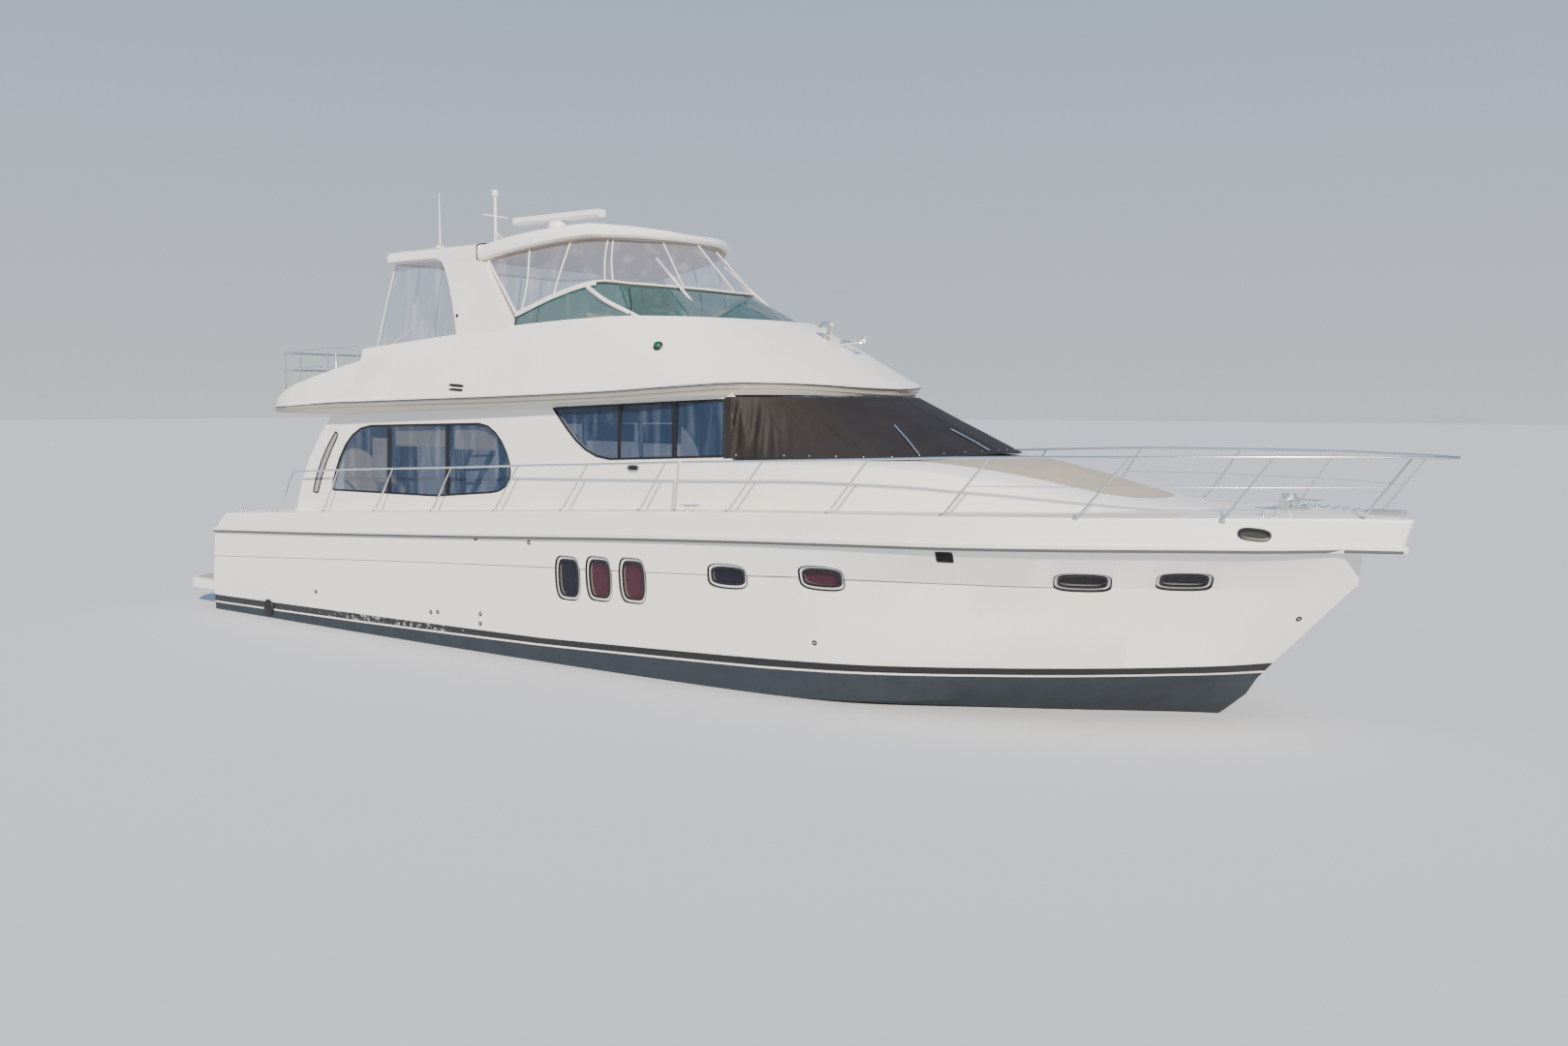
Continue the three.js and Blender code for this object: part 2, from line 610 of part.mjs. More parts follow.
function aftBulkhead() {
  const { x, thickness } = BULKHEAD;
  const inside = (z) => HOUSE_HALF_BREADTH - HOUSE_WALL - wallLean(x, z) - GAP;
  const half = [
    [CABIN.half - GAP, CABIN_SOLE + GAP],
    [CABIN.half - GAP, 1600],
    [inside(1600), 1600],
    [inside(WALL_TOP), WALL_TOP],
  ];
  const outline = polygon([...half, ...half.slice().reverse().map(([y, z]) => [-y, z])]);
  const doorway = block(
    x - 50,
    x + thickness + 50,
    DOOR.y0 + 40,
    DOOR.y1 - 40,
    CABIN_SOLE - 10,
    DOOR.z1 - 40,
  );
  const { y0, y1, z0, z1 } = FIXED_PANE;
  const window = lengthwise(roundedRectangle(y0, y1, z0, z1, 60), x - 10, x + thickness + 10, 3);
  const track = upright(polygon([
    [x - 45, 952],
    [x - 10, 952],
    [x - 10, CABIN_SOLE + 0.5],
    [x + 10, CABIN_SOLE + 0.5],
    [x + 10, DOOR.z0 - GAP],
    [x - 45, DOOR.z0 - GAP],
  ]), DOOR.y0 - 800, DOOR.y1 + 40);
  const wall = cut(lengthwise(outline, x, x + thickness), doorway, window);
  return cut(join(wall, track), moved(sideDecks, 0, 0, GAP), flybridgeLowered);
}
add('aft_bulkhead', 'gelcoat', aftBulkhead());
add('bulkhead_glass', 'glass', welded(lengthwise(
  roundedRectangle(FIXED_PANE.y0 + GAP, FIXED_PANE.y1 - GAP, FIXED_PANE.z0 + GAP, FIXED_PANE.z1 - GAP, 60),
  BULKHEAD.x + 20,
  BULKHEAD.x + 30,
  3,
)));

const doorOutline = (inset, radius) => roundedRectangle(
  DOOR.y0 + inset,
  DOOR.y1 - inset,
  DOOR.z0 + inset,
  DOOR.z1 - inset,
  radius,
);
const doorFrame = doorOutline(0, 10);
doorFrame.holes.push(doorOutline(DOOR.frame, 20));
const doorPane = doorOutline(DOOR.frame + GAP, 20);
add('salon_door', 'steel', welded(lengthwise(doorFrame, BULKHEAD.x - 36, BULKHEAD.x - 6, 3)));
add('salon_door_glass', 'glass', welded(lengthwise(doorPane, BULKHEAD.x - 26, BULKHEAD.x - 16, 3)));

// Soles over the bilge and the engine room
function soleOf(aft, front, half, top) {
  return block(aft, front, -half + GAP, half - GAP, top - SOLE_THICKNESS + GAP, top);
}
add('cockpit_sole', 'nonskid', soleOf(COCKPIT.aft + GAP, COCKPIT.front - GAP, COCKPIT.half, COCKPIT_SOLE));
add('cabin_sole', 'carpet', soleOf(COCKPIT.front, CABIN.front - GAP, CABIN.half, CABIN_SOLE));

const ENGINE = { aft: 4100, front: 5500, inner: 330, outer: 1080, low: ENGINE_ROOM.floor, high: 640 };
const engine = block(
  ENGINE.aft,
  ENGINE.front,
  -ENGINE.outer,
  -ENGINE.inner,
  ENGINE.low + GAP,
  ENGINE.high,
);
add('engine_starboard', 'iron', engine);
add('engine_port', 'iron', toPort(engine));

// Transom gate, turning on a pin that stands on a bracket at the inside of the coaming
function transomGate() {
  const { x, y0, y1, thickness } = TRANSOM_GATE;
  const leaf = block(x, x + thickness, y0 + 6, y1 - 12, COCKPIT_SOLE + 10, 1500);
  const arm = block(x + 5, GATE_HINGE.x, GATE_HINGE.y, GATE_HINGE.y + 10, 1410, 1460);
  const pin = rod([GATE_HINGE.x, GATE_HINGE.y, 1400 + GAP], [GATE_HINGE.x, GATE_HINGE.y, 1470], 10);
  return join(leaf, arm, pin);
}
add('transom_gate', 'gelcoat', transomGate());
add('gate_bracket', 'steel', block(
  COCKPIT.aft + GAP,
  GATE_HINGE.x + 12,
  GATE_HINGE.y - 40,
  GATE_HINGE.y + 10,
  1380,
  1400,
));

// Pilothouse front: the windshield below the brow and the cloth cover that hangs over it.
// Sill and head lines as [x, half breadth, z] from the centreline aft to the wall
const SILL = [
  [12480, 0, 2650], [12330, 780, 2640], [11900, 1400, 2600], [11100, 1720, 2600], [10075, 1852, 2590],
];
const HEAD = [
  [11050, 0, 3335], [10900, 620, 3335], [10570, 1210, 3335], [10270, 1560, 3335], [10075, 1790, 3335],
];

// A line faired from the centreline aft, with its mirror image on the starboard side
function mirroredLine(half, count) {
  const points = faired(half, count);
  return [...points.map(([x, y, z]) => [x, -y, z]).reverse(), ...points.slice(1)];
}

const trunkRaised = moved(trunk, 0, 0, GAP);
function frontSheet(outward, thickness) {
  const pushed = (line) => mirroredLine(line, 10).map(([x, y, z]) => {
    const away = new THREE.Vector2(x - 9400, y).normalize().multiplyScalar(outward);
    return [x + away.x, y + away.y, z];
  });
  const behindWall = block(8000, HOUSE_FRONT + GAP, -2500, 2500, 2000, 4000);
  return cut(panel([pushed(SILL), pushed(HEAD)], thickness), flybridgeLowered, trunkRaised, behindWall);
}
add('windshield', 'glass', frontSheet(-30, 12));
add('windshield_cover', 'canvas', frontSheet(14, 8));

// Flybridge windscreen, clear curtains, arch and hardtop.
// Lines as [x, half breadth, z] from the centreline aft
const SCREEN_FOOT = [
  [9555, 0, 4150], [9425, 590, 4150], [9150, 1075, 4150], [8770, 1460, 4150], [8150, 1715, 4150],
  [7300, 1790, 4150], [6480, 1820, 4120],
];
const SCREEN_TOP = [
  [8620, 0, 4612], [8530, 430, 4625], [8270, 850, 4650], [7960, 1230, 4675], [7640, 1520, 4697],
  [7150, 1710, 4560], [6490, 1800, 4330],
];
const CURTAIN_TOP = [
  [7990, 0, 5340], [7880, 430, 5340], [7630, 870, 5345], [7320, 1280, 5345], [6900, 1510, 5310],
  [6350, 1650, 5220], [5880, 1715, 5120],
];

function curvedSheet(lines, thickness, columns) {
  return panel(lines.map((half) => mirroredLine(half, columns)), thickness);
}

const screen = cut(curvedSheet([SCREEN_FOOT, SCREEN_TOP], 8, 14), flybridgeRaised);
add('bridge_windscreen', 'acrylic', screen);

const ARCH_ROOF = 5150;
const RADAR = { x: 5440, top: 5780, length: 1690 };
const AERIAL = { x: 4330, y: -1200, pivot: 5380, top: 6130 };

function radarPedestal() {
  const profile = [
    [0, 5250],
    [210, 5250],
    [210, 5330],
    [200, 5440],
    [150, 5520],
    [140, 5740],
    [120, RADAR.top],
    [0, RADAR.top],
  ];
  return new THREE.LatheGeometry(profile.map(([r, z]) => new THREE.Vector2(r, z)), 16)
    .rotateX(Math.PI / 2).translate(RADAR.x, 0, 0);
}

function aerialMount() {
  const { x, y, pivot } = AERIAL;
  const cheek = (offset) => block(x - 35, x + 35, y + offset - 10, y + offset + 10, 5240, pivot + 25);
  return join(block(x - 50, x + 50, y - 50, y + 50, 5240, pivot - 50), cheek(-36), cheek(36));
}

function archBody() {
  // Outline at each height as [z, aft x, front x, half breadth]
  const rows = [
    [4000, 3560, 6590, 1900],
    [5046, 3865, 5880, 1785],
    [5050, 3865, 5765, 1785],
    [5130, 3720, 5765, 1795],
    [5200, 3700, 5765, 1800],
    [5265, 3730, 5765, 1785],
    [5300, 3860, 5765, 1690],
    [5330, 4200, 5765, 1200],
  ];
  const outside = symmetricLoft(rows.map(([z, aft, front, half]) => [
    [aft, 0, z],
    [aft + 20, half * 0.6, z],
    [aft + 90, half - 110, z],
    [aft + 230, half, z],
    [front, half, z],
    [front, 0, z],
  ]));
  const tunnel = polygon([[-1790, 3800], [1790, 3800], [1665, ARCH_ROOF], [-1665, ARCH_ROOF]]);
  const behind = new THREE.Shape();
  behind.moveTo(3000, 3800);
  behind.lineTo(5520, 3800);
  behind.lineTo(5410, 4230);
  behind.quadraticCurveTo(5250, 4800, 5060, 5090);
  behind.quadraticCurveTo(4990, ARCH_ROOF, 4850, ARCH_ROOF);
  behind.lineTo(3000, ARCH_ROOF);
  return cut(
    outside,
    lengthwise(tunnel, 3000, 7000),
    upright(behind, -2500, 2500),
    flybridgeRaised,
    flybridgeLift,
  );
}
const arch = archBody();
add('radar_arch', 'gelcoat', join(arch, radarPedestal(), aerialMount()));

// Hardtop edge as [x, half breadth, lower edge z, upper edge z]
const HARDTOP_AFT = 5765 + GAP;
const HARDTOP = [
  [HARDTOP_AFT, 1790, 5060, 5262],
  [6300, 1765, 5145, 5350],
  [6900, 1660, 5232, 5418],
  [7400, 1420, 5300, 5470],
  [7750, 960, 5308, 5450],
  [8000, 470, 5302, 5418],
  [8080, 0, 5296, 5396],
];

function hardtopBody() {
  const outline = faired(HARDTOP.map(([x, y]) => [x, y, 0]), 18);
  const lowEdge = (x) => heightAt(HARDTOP.map((row) => [row[0], row[2]]), x);
  const highEdge = (x) => heightAt(HARDTOP.map((row) => [row[0], row[3]]), x);
  const row = (inset, level) => [[HARDTOP_AFT, 0, level(HARDTOP_AFT)], ...outline.map(([x, y]) => [
    HARDTOP_AFT + (x - HARDTOP_AFT) * (1 - inset / 2700),
    y * (1 - inset / 1790),
    level(x),
  ])];
  return symmetricLoft([
    row(45, lowEdge),
    row(8, (x) => lowEdge(x) + 30),
    row(0, (x) => (lowEdge(x) + highEdge(x)) / 2),
    row(60, highEdge),
    row(260, (x) => highEdge(x) + 38),
    row(900, (x) => highEdge(x) + 62),
  ]);
}
const hardtop = hardtopBody();
add('hardtop', 'gelcoat', hardtop);

const frontCurtain = cut(
  curvedSheet([SCREEN_TOP.map(([x, y, z]) => [x, y, z + 12]), CURTAIN_TOP], 5, 14),
  moved(hardtop, 0, 0, -GAP),
  moved(arch, GAP, 0, 0),
  flybridgeRaised,
);
add('curtain_front', 'vinyl', frontCurtain);

// Aft curtain as [x, half breadth, z] from the centreline round the corner to the arch leg
const AFT_CURTAIN = {
  foot: [
    [3592, 0, 3900], [3594, 900, 3900], [3602, 1640, 3900], [3650, 1775, 3900], [3760, 1822, 3900],
    [4600, 1838, 3960], [5400, 1805, 4060],
  ],
  head: [
    [3872, 0, 5148], [3874, 900, 5148], [3882, 1500, 5148], [3915, 1620, 5148], [4010, 1652, 5148],
    [4600, 1668, 5148], [5020, 1670, 5130],
  ],
};
add('curtain_aft', 'vinyl', cut(
  curvedSheet([AFT_CURTAIN.foot, AFT_CURTAIN.head], 5, 14),
  flybridgeRaised,
  moved(arch, -GAP, 0, -GAP),
));

function radarScanner() {
  const low = RADAR.top + 6;
  const half = RADAR.length / 2;
  const section = [[-85, 34], [-60, 0], [60, 0], [85, 34], [70, 104], [-70, 104]];
  const beam = polygon(section.map(([y, z]) => [y, low + z]));
  const hub = rod([RADAR.x, 0, RADAR.top + GAP], [RADAR.x, 0, low + 20], 55, { sides: 16 });
  return join(lengthwise(beam, RADAR.x - half, RADAR.x + half), hub);
}
add('radar_scanner', 'plastic', radarScanner());

// Whip aerial with its hinge pin, and the light mast
function aerial() {
  const { x, y, pivot, top } = AERIAL;
  const pin = rod([x, y - 26 + GAP, pivot], [x, y + 26 - GAP, pivot], 22);
  return join(rod([x, y, pivot], [x, y, top], 13, { endRadius: 6 }), pin);
}
add('aerial', 'plastic', aerial());

function lightMast() {
  const x = 4140;
  const post = rod([x, 0, 5250], [x, 0, 6320], 22);
  const lamp = rod([x, 0, 6250], [x, 0, 6340], 45, { sides: 16 });
  const brace = (side) => bar([[x + 8, side * 12, 5720], [x + 420, side * 230, 5280]], 11, { sides: 6 });
  const spreader = bar([[x, -240, 5960], [x, 240, 5960]], 12, { sides: 6 });
  return cut(join(post, lamp, spreader, brace(-1), brace(1)), moved(arch, 0, 0, GAP));
}
add('light_mast', 'steel', lightMast());

// Helm, seats and wheel on the flybridge
const WHEEL_TILT = THREE.MathUtils.degToRad(20);
const WHEEL_REACH = 60;
const BRIDGE_WHEEL = { centre: [7868, -650, 3930], radius: 200 };
const LOWER_WHEEL = { centre: [9170, -800, 2200], radius: 220 };

// A point [x, z] on the console face that carries a wheel, a way up the face from the wheel's axis
function consoleFace(centre, up) {
  return [
    centre[0] + WHEEL_REACH * Math.cos(WHEEL_TILT) + up * Math.sin(WHEEL_TILT),
    centre[2] - WHEEL_REACH * Math.sin(WHEEL_TILT) + up * Math.cos(WHEEL_TILT),
  ];
}

function wheel({ centre, radius }) {
  const rim = new THREE.TorusGeometry(radius, 13, 6, 20);
  const hub = rod([0, 0, -WHEEL_REACH + GAP], [0, 0, 12], 42);
  const spokes = [90, 210, 330].map((degrees) => {
    const angle = THREE.MathUtils.degToRad(degrees);
    return bar([[0, 0, 0], [Math.cos(angle) * radius, Math.sin(angle) * radius, 0]], 9, { sides: 6 });
  });
  return join(rim, hub, ...spokes).rotateY(-Math.PI / 2 + WHEEL_TILT).translate(...centre);
}

const bridgeConsole = upright(polygon([
  consoleFace(BRIDGE_WHEEL.centre, -640),
  [8500, 3300],
  [8530, 4150],
  [8250, 4190],
  consoleFace(BRIDGE_WHEEL.centre, 240),
]), -1150, -150);
add('bridge_console', 'gelcoat', cut(bridgeConsole, flybridgeLift, moved(flybridge, -GAP, 0, 0)));
add('bridge_wheel', 'steel', wheel(BRIDGE_WHEEL));

function pedestalSeat(x, y, floor, seatHeight) {
  const top = floor + seatHeight;
  const post = rod([x, y, floor - 70], [x, y, top - 60], 60);
  const cushion = roundedRectangle(x - 260, x + 260, y - 290, y + 290, 70);
  const back = polygon([
    [x - 290, top - 100],
    [x - 190, top - 100],
    [x - 250, top + 520],
    [x - 350, top + 520],
  ]);
  return join(post, lying(cushion, top - 100, top, 4), upright(back, y - 280, y + 280));
}
add('bridge_helm_seat', 'upholstery', cut(pedestalSeat(7150, -650, 3340, 560), flybridgeLift));

// Settee along the port side and across the stern of the flybridge
function bridgeSettee() {
  const seat = [block(3720, 5600, 900, 1660, 3200, 3720), block(3720, 4350, -1660, 900.5, 3200, 3720)];
  const back = [block(3720, 5600, 1540, 1660, 3700, 4020), block(3720, 3850, -1660, 1550, 3700, 4020)];
  return cut(join(...seat, ...back), flybridgeLift);
}
add('bridge_settee', 'upholstery', bridgeSettee());

// Rails

function stanchionRail(heads, posts, steps) {
  const top = bar(heads, RAIL_RADIUS, { sides: 6, steps, fair: true });
  const uprights = posts.map(([foot, head]) => bar([foot, head], 12, { sides: 5 }));
  return join(top, ...uprights);
}

// Stanchions as [foot x, foot half breadth, foot z, head x, head half breadth, head z]
const SIDE_POSTS = [
  [1640, 2085, 1590, 2010, 2075, 2200],
  [2790, 2130, 1640, 3110, 2085, 2265],
  [3980, 2150, 1700, 4350, 2105, 2320],
  [5200, 2165, 1765, 5570, 2120, 2370],
  [6440, 2185, 1825, 6850, 2140, 2430],
  [7660, 2205, 1890, 8080, 2160, 2480],
  [8950, 2220, 1950, 9330, 2175, 2535],
  [9510, 2225, 1975, 9530, 2178, 2545],
];
const BOW_POSTS = [
  [10270, 2235, 2005, 10720, 2165, 2590],
  [11600, 2220, 2055, 12050, 2115, 2640],
  [12920, 2130, 2085, 13370, 1965, 2690],
  [14220, 1820, 2110, 14680, 1635, 2710],
  [15430, 1200, 2120, 15860, 1080, 2725],
  [16480, 355, 2125, 16900, 340, 2725],
];
const postAt = ([fx, fy, fz, hx, hy, hz], side) => [[fx, side * fy, fz], [hx, side * hy, hz]];
const headAt = ([, , , x, y, z], side) => [x, side * y, z];

function sideRail() {
  const heads = SIDE_POSTS.map((row) => headAt(row, -1));
  const posts = SIDE_POSTS.map((row) => postAt(row, -1));
  return cut(stanchionRail(heads, posts, 20), deckRaised);
}
const railStarboard = sideRail();
add('side_rail_starboard', 'steel', railStarboard);
add('side_rail_port', 'steel', toPort(railStarboard));

function bowRail() {
  const side = (sign) => [[9580, sign * 2180, 2548], ...BOW_POSTS.map((row) => headAt(row, sign))];
  const heads = [...side(-1), [17235, 0, 2722], ...side(1).reverse()];
  const posts = BOW_POSTS.flatMap((row) => [postAt(row, -1), postAt(row, 1)]);
  return cut(stanchionRail(heads, posts, 52), deckRaised);
}
add('bow_rail', 'steel', bowRail());

// Rail round the stern of the flybridge. Posts as [x, half breadth, top z]
function bridgeRail() {
  const POSTS = [
    [3440, 1960, 4003],
    [2750, 1964, 3982],
    [2100, 1966, 3963],
    [1560, 1850, 3960],
    [1494, 900, 3960],
  ];
  const corner = (z) => [[1850, -1965, z], [1570, -1870, z], [1500, -1600, z], [1490, 0, z]];
  const loop = (half) => [...half, ...half.slice(0, -1).reverse().map(([x, y, z]) => [x, -y, z])];
  const run = (points) => bar(loop(points), RAIL_RADIUS, { sides: 6, steps: 28, fair: true });
  const top = run([[3440, -1960, 3995], [2600, -1965, 3980], ...corner(3950)]);
  const middle = run([[2600, -1965, 3730], ...corner(3700)]);
  const posts = POSTS.flatMap(([x, y, z]) => [-1, 1].map((side) => (
    rod([x, side * y, 3150], [x, side * y, z], 12, { sides: 6 })
  )));
  return cut(join(top, ...posts, middle), flybridgeRaised);
}
add('bridge_rail', 'steel', bridgeRail());

// Stairs from the cockpit to the flybridge, and the hatch over them
function bridgeStairs() {
  const [y0, y1] = [1010, 1540];
  const foot = [1250, COCKPIT_SOLE + 2.2];
  const head = [2790, 3080];
  const slope = (head[0] - foot[0]) / (head[1] - foot[1]);
  const stringer = polygon([
    [foot[0] - 60, foot[1]],
    [foot[0] + 60, foot[1]],
    [head[0] + 60, head[1]],
    [head[0] - 60, head[1]],
  ]);
  const sides = [upright(stringer, y0, y0 + 35), upright(stringer, y1 - 35, y1)];
  const treads = Array.from({ length: 8 }, (_, i) => {
    const z = foot[1] + 235 * (i + 1);
    const x = foot[0] + (z - foot[1]) * slope;
    return block(x - 90, x + 110, y0 + 20, y1 - 20, z - 30, z);
  });
  return cut(join(...sides, ...treads), flybridgeLowered);
}
add('bridge_stairs', 'gelcoat', bridgeStairs());

function bridgeHatch() {
  const { x0, x1, y0, y1 } = BRIDGE_HATCH;
  return lying(roundedRectangle(x0 - 25, x1 + 25, y0 - 25, y1 + 25, 40), 3180 + GAP, 3225, 3);
}
add('bridge_hatch', 'gelcoat', bridgeHatch());

// Anchor windlass
function windlass() {
  const drum = rod([15700, 0, 2100], [15700, 0, 2330], 95, { endRadius: 70, sides: 16 });
  const base = block(15520, 15880, -140, 140, 2100, 2190);
  const motor = rod([15700, -200, 2230], [15700, 200, 2230], 62, { sides: 12 });
  return cut(join(base, drum, motor), deckRaised);
}
add('windlass', 'steel', windlass());

// Helm in the pilothouse
const lowerConsole = upright(polygon([
  [9350, CABIN_SOLE + GAP],
  [9990, CABIN_SOLE + GAP],
  [9990, 2450],
  [9420, 2450],
  consoleFace(LOWER_WHEEL.centre, 180),
  consoleFace(LOWER_WHEEL.centre, -180),
  [9350, 1950],
]), -1450, -200);
add('lower_helm_console', 'dark', welded(lowerConsole));
add('lower_wheel', 'steel', wheel(LOWER_WHEEL));
add('lower_helm_seat', 'upholstery', cut(
  pedestalSeat(8500, -800, CABIN_SOLE + 60, 900),
  block(8000, 9000, -1200, 0, 900, CABIN_SOLE + GAP),
));

// Running gear below the water

// A closed body through rings of the same number of points, each end closed by a fan
function ringLoft(rows) {
  const weld = welder();
  const rings = rows.map((row) => row.map((p) => weld.vertex(p)));
  const count = rings[0].length;
  for (let i = 0; i < rings.length - 1; i += 1) {
    for (let k = 0; k < count; k += 1) {
      const next = (k + 1) % count;
      weld.quad(rings[i][k], rings[i][next], rings[i + 1][next], rings[i + 1][k]);
    }
  }
  for (let k = 1; k < count - 1; k += 1) {
    weld.triangle(rings[0][0], rings[0][k + 1], rings[0][k]);
    const last = rings[rings.length - 1];
    weld.triangle(last[0], last[k], last[k + 1]);
  }
  return facingOut(weld.positions, weld.triangles);
}

// Blade sections as [radius, chord, thickness], all set at one pitch angle
const BLADE = [[50, 150, 34], [150, 230, 27], [240, 250, 20], [310, 200, 14], [PROPELLER_RADIUS, 90, 9]];
const BLADE_PITCH = THREE.MathUtils.degToRad(30);

function bladePoint(radius, along, across) {
  const x = along * Math.sin(BLADE_PITCH) + across * Math.cos(BLADE_PITCH);
  const y = along * Math.cos(BLADE_PITCH) - across * Math.sin(BLADE_PITCH);
  return [x, y, radius];
}

function blade() {
  const outline = [[-0.5, 0], [0, 0.5], [0.5, 0], [0, -0.5]];
  return ringLoft(BLADE.map(([radius, chord, thickness]) =>
    outline.map(([u, v]) => bladePoint(radius, u * chord, v * thickness))));
}

function propeller() {
  const hub = rod([-110, 0, 0], [110, 0, 0], 68, { endRadius: 78, sides: 16 });
  const turned = (degrees) => blade().rotateX(THREE.MathUtils.degToRad(degrees));
  return join(hub, ...[0, 90, 180, 270].map(turned));
}

const onShaft = (geometry) => geometry.rotateY(-SHAFT.angle).translate(SHAFT.x, -SHAFT.y, SHAFT.z);
const shaft = rod([-59, 0, 0], [2900, 0, 0], SHAFT.radius, { sides: BORE_SIDES });
const propellerSet = onShaft(join(propeller(), shaft));
add('propeller_starboard', 'bronze', propellerSet);
add('propeller_port', 'bronze', toPort(propellerSet));

function strut() {
  const barrel = rod([150, 0, 0], [390, 0, 0], 62, { sides: 24 });
  const diamond = (x, y, z) => [[x - 65, y, z], [x, y + 12, z], [x + 65, y, z], [x, y - 12, z]];
  const leg = (side) => ringLoft([diamond(270, 0, 20), diamond(285, side * 190, 700)]);
  const bore = rod([100, 0, 0], [440, 0, 0], boreRadius(SHAFT.radius), { sides: BORE_SIDES });
  return cut(onShaft(cut(join(barrel, leg(1), leg(-1)), bore)), moved(hullCore, 0, 0, -GAP));
}
const strutStarboard = strut();
add('strut_starboard', 'bronze', strutStarboard);
add('strut_port', 'bronze', toPort(strutStarboard));

function rudder() {
  const { x, y, top, bottom, stock } = RUDDER;
  const outline = [[-0.72, 0], [-0.3, 0.45], [0.1, 0.5], [0.28, 0], [0.1, -0.5], [-0.3, -0.45]];
  const section = (chord, thickness, z, shift) => (
    outline.map(([u, v]) => [x + shift + u * chord, -y + v * thickness, z])
  );
  const leaf = ringLoft([section(560, 70, top, 0), section(460, 44, bottom, 10)]);
  const post = rod([x, -y, top - 100], [x, -y, -170], stock, { sides: BORE_SIDES });
  return join(leaf, post);
}
const rudderStarboard = rudder();
add('rudder_starboard', 'bronze', rudderStarboard);
add('rudder_port', 'bronze', toPort(rudderStarboard));

export default boat;
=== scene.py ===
# %% [markdown]
# # A motor yacht, afloat
# The boat comes from CAD as a set of solids that already have the right size and place.
# Here they get their paint, glass, cloth and fittings. The frame is read first.

# %% Load the boat
import math

import bmesh
import bpy
from mathutils import Matrix, Vector, noise
from mathutils.bvhtree import BVHTree


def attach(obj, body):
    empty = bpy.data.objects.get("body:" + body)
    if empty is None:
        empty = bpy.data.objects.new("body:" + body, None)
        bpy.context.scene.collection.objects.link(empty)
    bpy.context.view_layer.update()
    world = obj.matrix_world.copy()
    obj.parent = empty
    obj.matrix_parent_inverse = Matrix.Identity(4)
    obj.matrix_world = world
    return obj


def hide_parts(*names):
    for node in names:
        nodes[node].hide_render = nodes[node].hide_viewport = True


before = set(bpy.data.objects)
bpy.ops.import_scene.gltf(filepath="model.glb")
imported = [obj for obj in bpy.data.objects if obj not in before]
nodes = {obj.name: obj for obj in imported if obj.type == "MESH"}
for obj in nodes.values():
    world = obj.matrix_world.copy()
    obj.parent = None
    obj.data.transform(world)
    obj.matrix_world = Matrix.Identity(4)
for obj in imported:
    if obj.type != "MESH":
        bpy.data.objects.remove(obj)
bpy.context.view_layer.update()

# %% [markdown]
# ## Colours and material nodes
# Colours are picked as sRGB hex values, the way a paint chart gives them, while the shader
# works with linear light, so one function converts them. Another small function adds a node
# with its settings and its links, and every material below is built from these two.

# %% Colour and node helpers
def linear(hex_colour):
    channels = [int(hex_colour[i:i + 2], 16) / 255 for i in (1, 3, 5)]
    return [c / 12.92 if c <= 0.04045 else ((c + 0.055) / 1.055) ** 2.4 for c in channels] + [1]


def add_node(material, kind, inputs, feeds=None, ramp=(), **settings):
    """A node with its settings, its links and, for a colour ramp, its colours

    An input is a value, a socket, or a node, whose first output is then linked. The node's own
    first output feeds the shader's socket of that name.
    """
    tree = material.node_tree
    node = tree.nodes.new("ShaderNode" + kind)
    for name, value in settings.items():
        setattr(node, name, value)
    for number, colour in enumerate(ramp):
        node.color_ramp.elements[number].color = linear(colour)
    for socket, value in inputs.items():
        if isinstance(value, (bpy.types.Node, bpy.types.NodeSocket)):
            output = value.outputs[0] if isinstance(value, bpy.types.Node) else value
            tree.links.new(output, node.inputs[socket])
        else:
            node.inputs[socket].default_value = value
    if feeds:
        tree.links.new(node.outputs[0], tree.nodes["Principled BSDF"].inputs[feeds])
    return node


def start_material(name, colour, roughness, **sockets):
    material = bpy.data.materials.new(name)
    material.use_nodes = True
    shader = material.node_tree.nodes["Principled BSDF"]
    shader.inputs["Base Color"].default_value = linear(colour)
    shader.inputs["Roughness"].default_value = roughness
    for socket, value in sockets.items():
        shader.inputs[socket.replace("_", " ")].default_value = value
    return material, add_node(material, "TexCoord", {}).outputs["Object"]


print("colour and node helpers ready")

# %% [markdown]
# ## Gelcoat
# The hull, deck and superstructure are moulded fibreglass with a gelcoat surface, a thick
# polyester paint that leaves the mould glossy. It is never quite flat: the mould has a long
# soft wave, and the laminate prints through it. A large noise gives the wave as a bump, and a
# faint change of tone stands for years of sun and washing.

# %% Gelcoat in white, and the same gelcoat in grey, painted on the brow band as shade
def gelcoat(name, colour, worn_and_glint):
    # Polyester gelcoat from a polished mould: glossy, slightly wavy, chalking a little with age
    material, place = start_material(
        name, colour, 0.3, Coat_Weight=0.2, Coat_Roughness=0.15, Specular_IOR_Level=0.5)
    age = add_node(material, "TexNoise", {"Vector": place, "Scale": 1.3, "Detail": 3.0})
    add_node(material, "ValToRGB", {"Fac": age}, "Base Color", (worn_and_glint, colour))
    # Waves of the mould, about 0.4 m long
    wave = add_node(material, "TexNoise", {"Vector": place, "Scale": 2.5, "Detail": 1.0})
    add_node(material, "Bump", {"Height": wave, "Strength": 0.35, "Distance": 0.006}, "Normal")
    chalk = add_node(material, "TexNoise", {"Vector": place, "Scale": 22.0, "Detail": 4.0})
    add_node(material, "MapRange", {"Value": chalk, "To Min": 0.24, "To Max": 0.4}, "Roughness")
    return material


WHITE_GELCOAT = gelcoat("gelcoat_white", "#f4f3ee", "#ebe9e2")
# The grey is painted shade on the band where the brow slopes in underneath
SHADE_GREY_GELCOAT = gelcoat("gelcoat_grey_band", "#a9a59c", "#9b978d")
print("gelcoat:", WHITE_GELCOAT.name, SHADE_GREY_GELCOAT.name)
